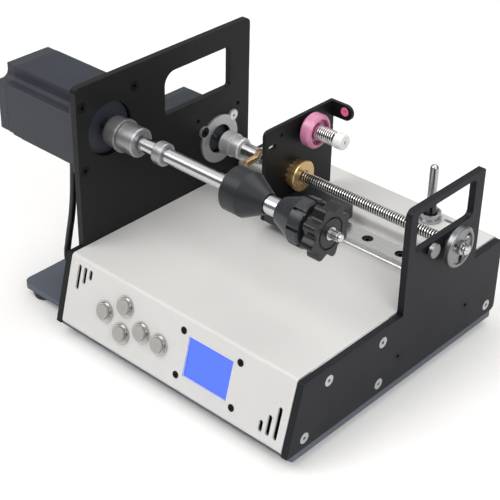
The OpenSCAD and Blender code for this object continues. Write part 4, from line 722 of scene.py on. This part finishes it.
class SPOOLER_OT_tension(bpy.types.Operator):
    """Tension disc, stud, coil spring and adjusting knob"""
    bl_idname = "spooler.tension"
    bl_label = "Tension unit"

    coils = 8
    rings = 32
    wire_sides = 12

    def execute(self, context):
        sizes = context.scene.spooler_sizes
        edge = sizes.turned_edge / MM
        rounded_copy("tension_stud", BLACK_STEEL, edge)
        rounded_copy("tension_disc", PINK_GLAZE, edge * 1.2, segments=3, shade=20)
        rounded_copy("tension_knob", WHITE_PLASTIC, edge)
        self.spring(sizes.wire)
        return {"FINISHED"}

    def spring(self, wire):
        """One unbroken coil of round wire."""
        low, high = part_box("tension_spring")
        y, z = (low[1] + high[1]) / 2, (low[2] + high[2]) / 2
        radius = (high[2] - low[2]) / 2 - wire
        bpy.ops.object.select_all(action="DESELECT")
        bpy.ops.mesh.primitive_circle_add(vertices=self.wire_sides, radius=wire, location=(0, 0, 0))
        ring = bpy.context.object
        edit_all(ring)
        bpy.ops.transform.translate(value=(low[0] + wire, radius, 0))
        bpy.ops.object.mode_set(mode="OBJECT")
        pitch = (high[0] - low[0] - wire * 2) / self.coils
        spring = wound("tension_spring_wound", ring, pitch, self.coils, y, z, self.rings)
        smooth(spring, 50)
        finish_piece(spring, SPRING_WIRE, "tension_spring")


class SPOOLER_OT_panel_pieces(bpy.types.Operator):
    """Buttons, their rings, the display and its screws"""
    bl_idname = "spooler.panel_pieces"
    bl_label = "Control panel"

    def execute(self, context):
        edge = context.scene.spooler_sizes.turned_edge / MM
        rounded_copy("button_bushings", BUTTON_METAL, edge * 0.8)
        for name in ("left", "right", "up", "down", "start"):
            rounded_copy(name + "_button", BUTTON_PLASTIC, edge * 1.4, segments=3)
        dress("display_glass", BLUE_WINDOW)
        dress("display_screws", BLACK_STEEL)
        dress("display_board", BOARD)
        return {"FINISHED"}


class SPOOLER_OT_post(bpy.types.Operator):
    """Supply post, its base and the thumb screw"""
    bl_idname = "spooler.post"
    bl_label = "Supply post"

    def execute(self, context):
        edge = context.scene.spooler_sizes.turned_edge / MM
        rounded_copy("post_base", POST_STEEL, edge)
        rounded_copy("spool_post", ROD_STEEL, edge)
        rounded_copy("thumb_screw", WHEEL_ALUMINIUM, edge)
        return {"FINISHED"}


class SPOOLER_OT_fasteners(bpy.types.Operator):
    """Screws and the pieces of the back panel"""
    bl_idname = "spooler.fasteners"
    bl_label = "Screws and back panel"

    def execute(self, context):
        edge = context.scene.spooler_sizes.turned_edge / MM
        rounded_copy("plate_screws", BRIGHT_STEEL, edge * 0.4)
        rounded_copy("black_screws", BLACK_STEEL, edge * 0.4)
        rounded_copy("switch_housing", CASE_PLASTIC, edge)
        rounded_copy("power_rocker", CASE_PLASTIC, edge)
        rounded_copy("power_inlet", CASE_PLASTIC, edge)
        rounded_copy("lead_grommets", RUBBER, edge)
        dress("rail_screws", BLACK_STEEL)
        dress("base_screws", BRIGHT_STEEL)
        return {"FINISHED"}


class SPOOLER_OT_inside(bpy.types.Operator):
    """Materials of the pieces inside the base and the motors"""
    bl_idname = "spooler.inside"
    bl_label = "Inner pieces"

    def execute(self, context):
        # The tie bars and the drivers are dark so that the slots in the base show painted shade, and the spindle
        # motor's shaft is black steel as painted shade in the left plate's hole.
        for node, material in (("tie_bars", BLACK_STEEL), ("control_board", BOARD),
                               ("motor_drivers", CASE_PLASTIC), ("spindle_motor_bearing", BRIGHT_STEEL),
                               ("spindle_motor_shaft", BLACK_STEEL), ("traverse_motor_shaft", BRIGHT_STEEL)):
            dress(node, material)
        return {"FINISHED"}


class SPOOLER_PT_panel(bpy.types.Panel):
    """Lists the machine's sizes and its pieces"""
    bl_idname = "SPOOLER_PT_panel"
    bl_label = "Line Spooling Machine"
    bl_space_type = "VIEW_3D"
    bl_region_type = "UI"
    bl_category = "Spooler"

    def draw(self, context):
        for group in (context.scene.spooler_sizes, context.scene.spooler_colours):
            for name in group.bl_rna.properties.keys():
                if name not in ("rna_type", "name"):
                    self.layout.prop(group, name)
        for step in STEPS:
            self.layout.operator(step.bl_idname)


# The stage and the leads come first, then the pieces from the frame outwards
STEPS = (SPOOLER_OT_stage, SPOOLER_OT_leads, SPOOLER_OT_sheets, SPOOLER_OT_motors, SPOOLER_OT_spindle,
         SPOOLER_OT_knob, SPOOLER_OT_traverse, SPOOLER_OT_carriage, SPOOLER_OT_tension, SPOOLER_OT_panel_pieces,
         SPOOLER_OT_post, SPOOLER_OT_fasteners, SPOOLER_OT_inside)
CLASSES = (SpoolerSizes, SpoolerColours) + STEPS + (SPOOLER_PT_panel,)


def register():
    for item in CLASSES:
        bpy.utils.register_class(item)
    bpy.types.Scene.spooler_sizes = bpy.props.PointerProperty(type=SpoolerSizes)
    bpy.types.Scene.spooler_colours = bpy.props.PointerProperty(type=SpoolerColours)


def unregister():
    del bpy.types.Scene.spooler_colours
    del bpy.types.Scene.spooler_sizes
    for item in reversed(CLASSES):
        bpy.utils.unregister_class(item)


def main():
    """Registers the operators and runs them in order."""
    register()
    for step in STEPS:
        group, name = step.bl_idname.split(".")
        getattr(getattr(bpy.ops, group), name)()


if __name__ == "__main__":
    main()
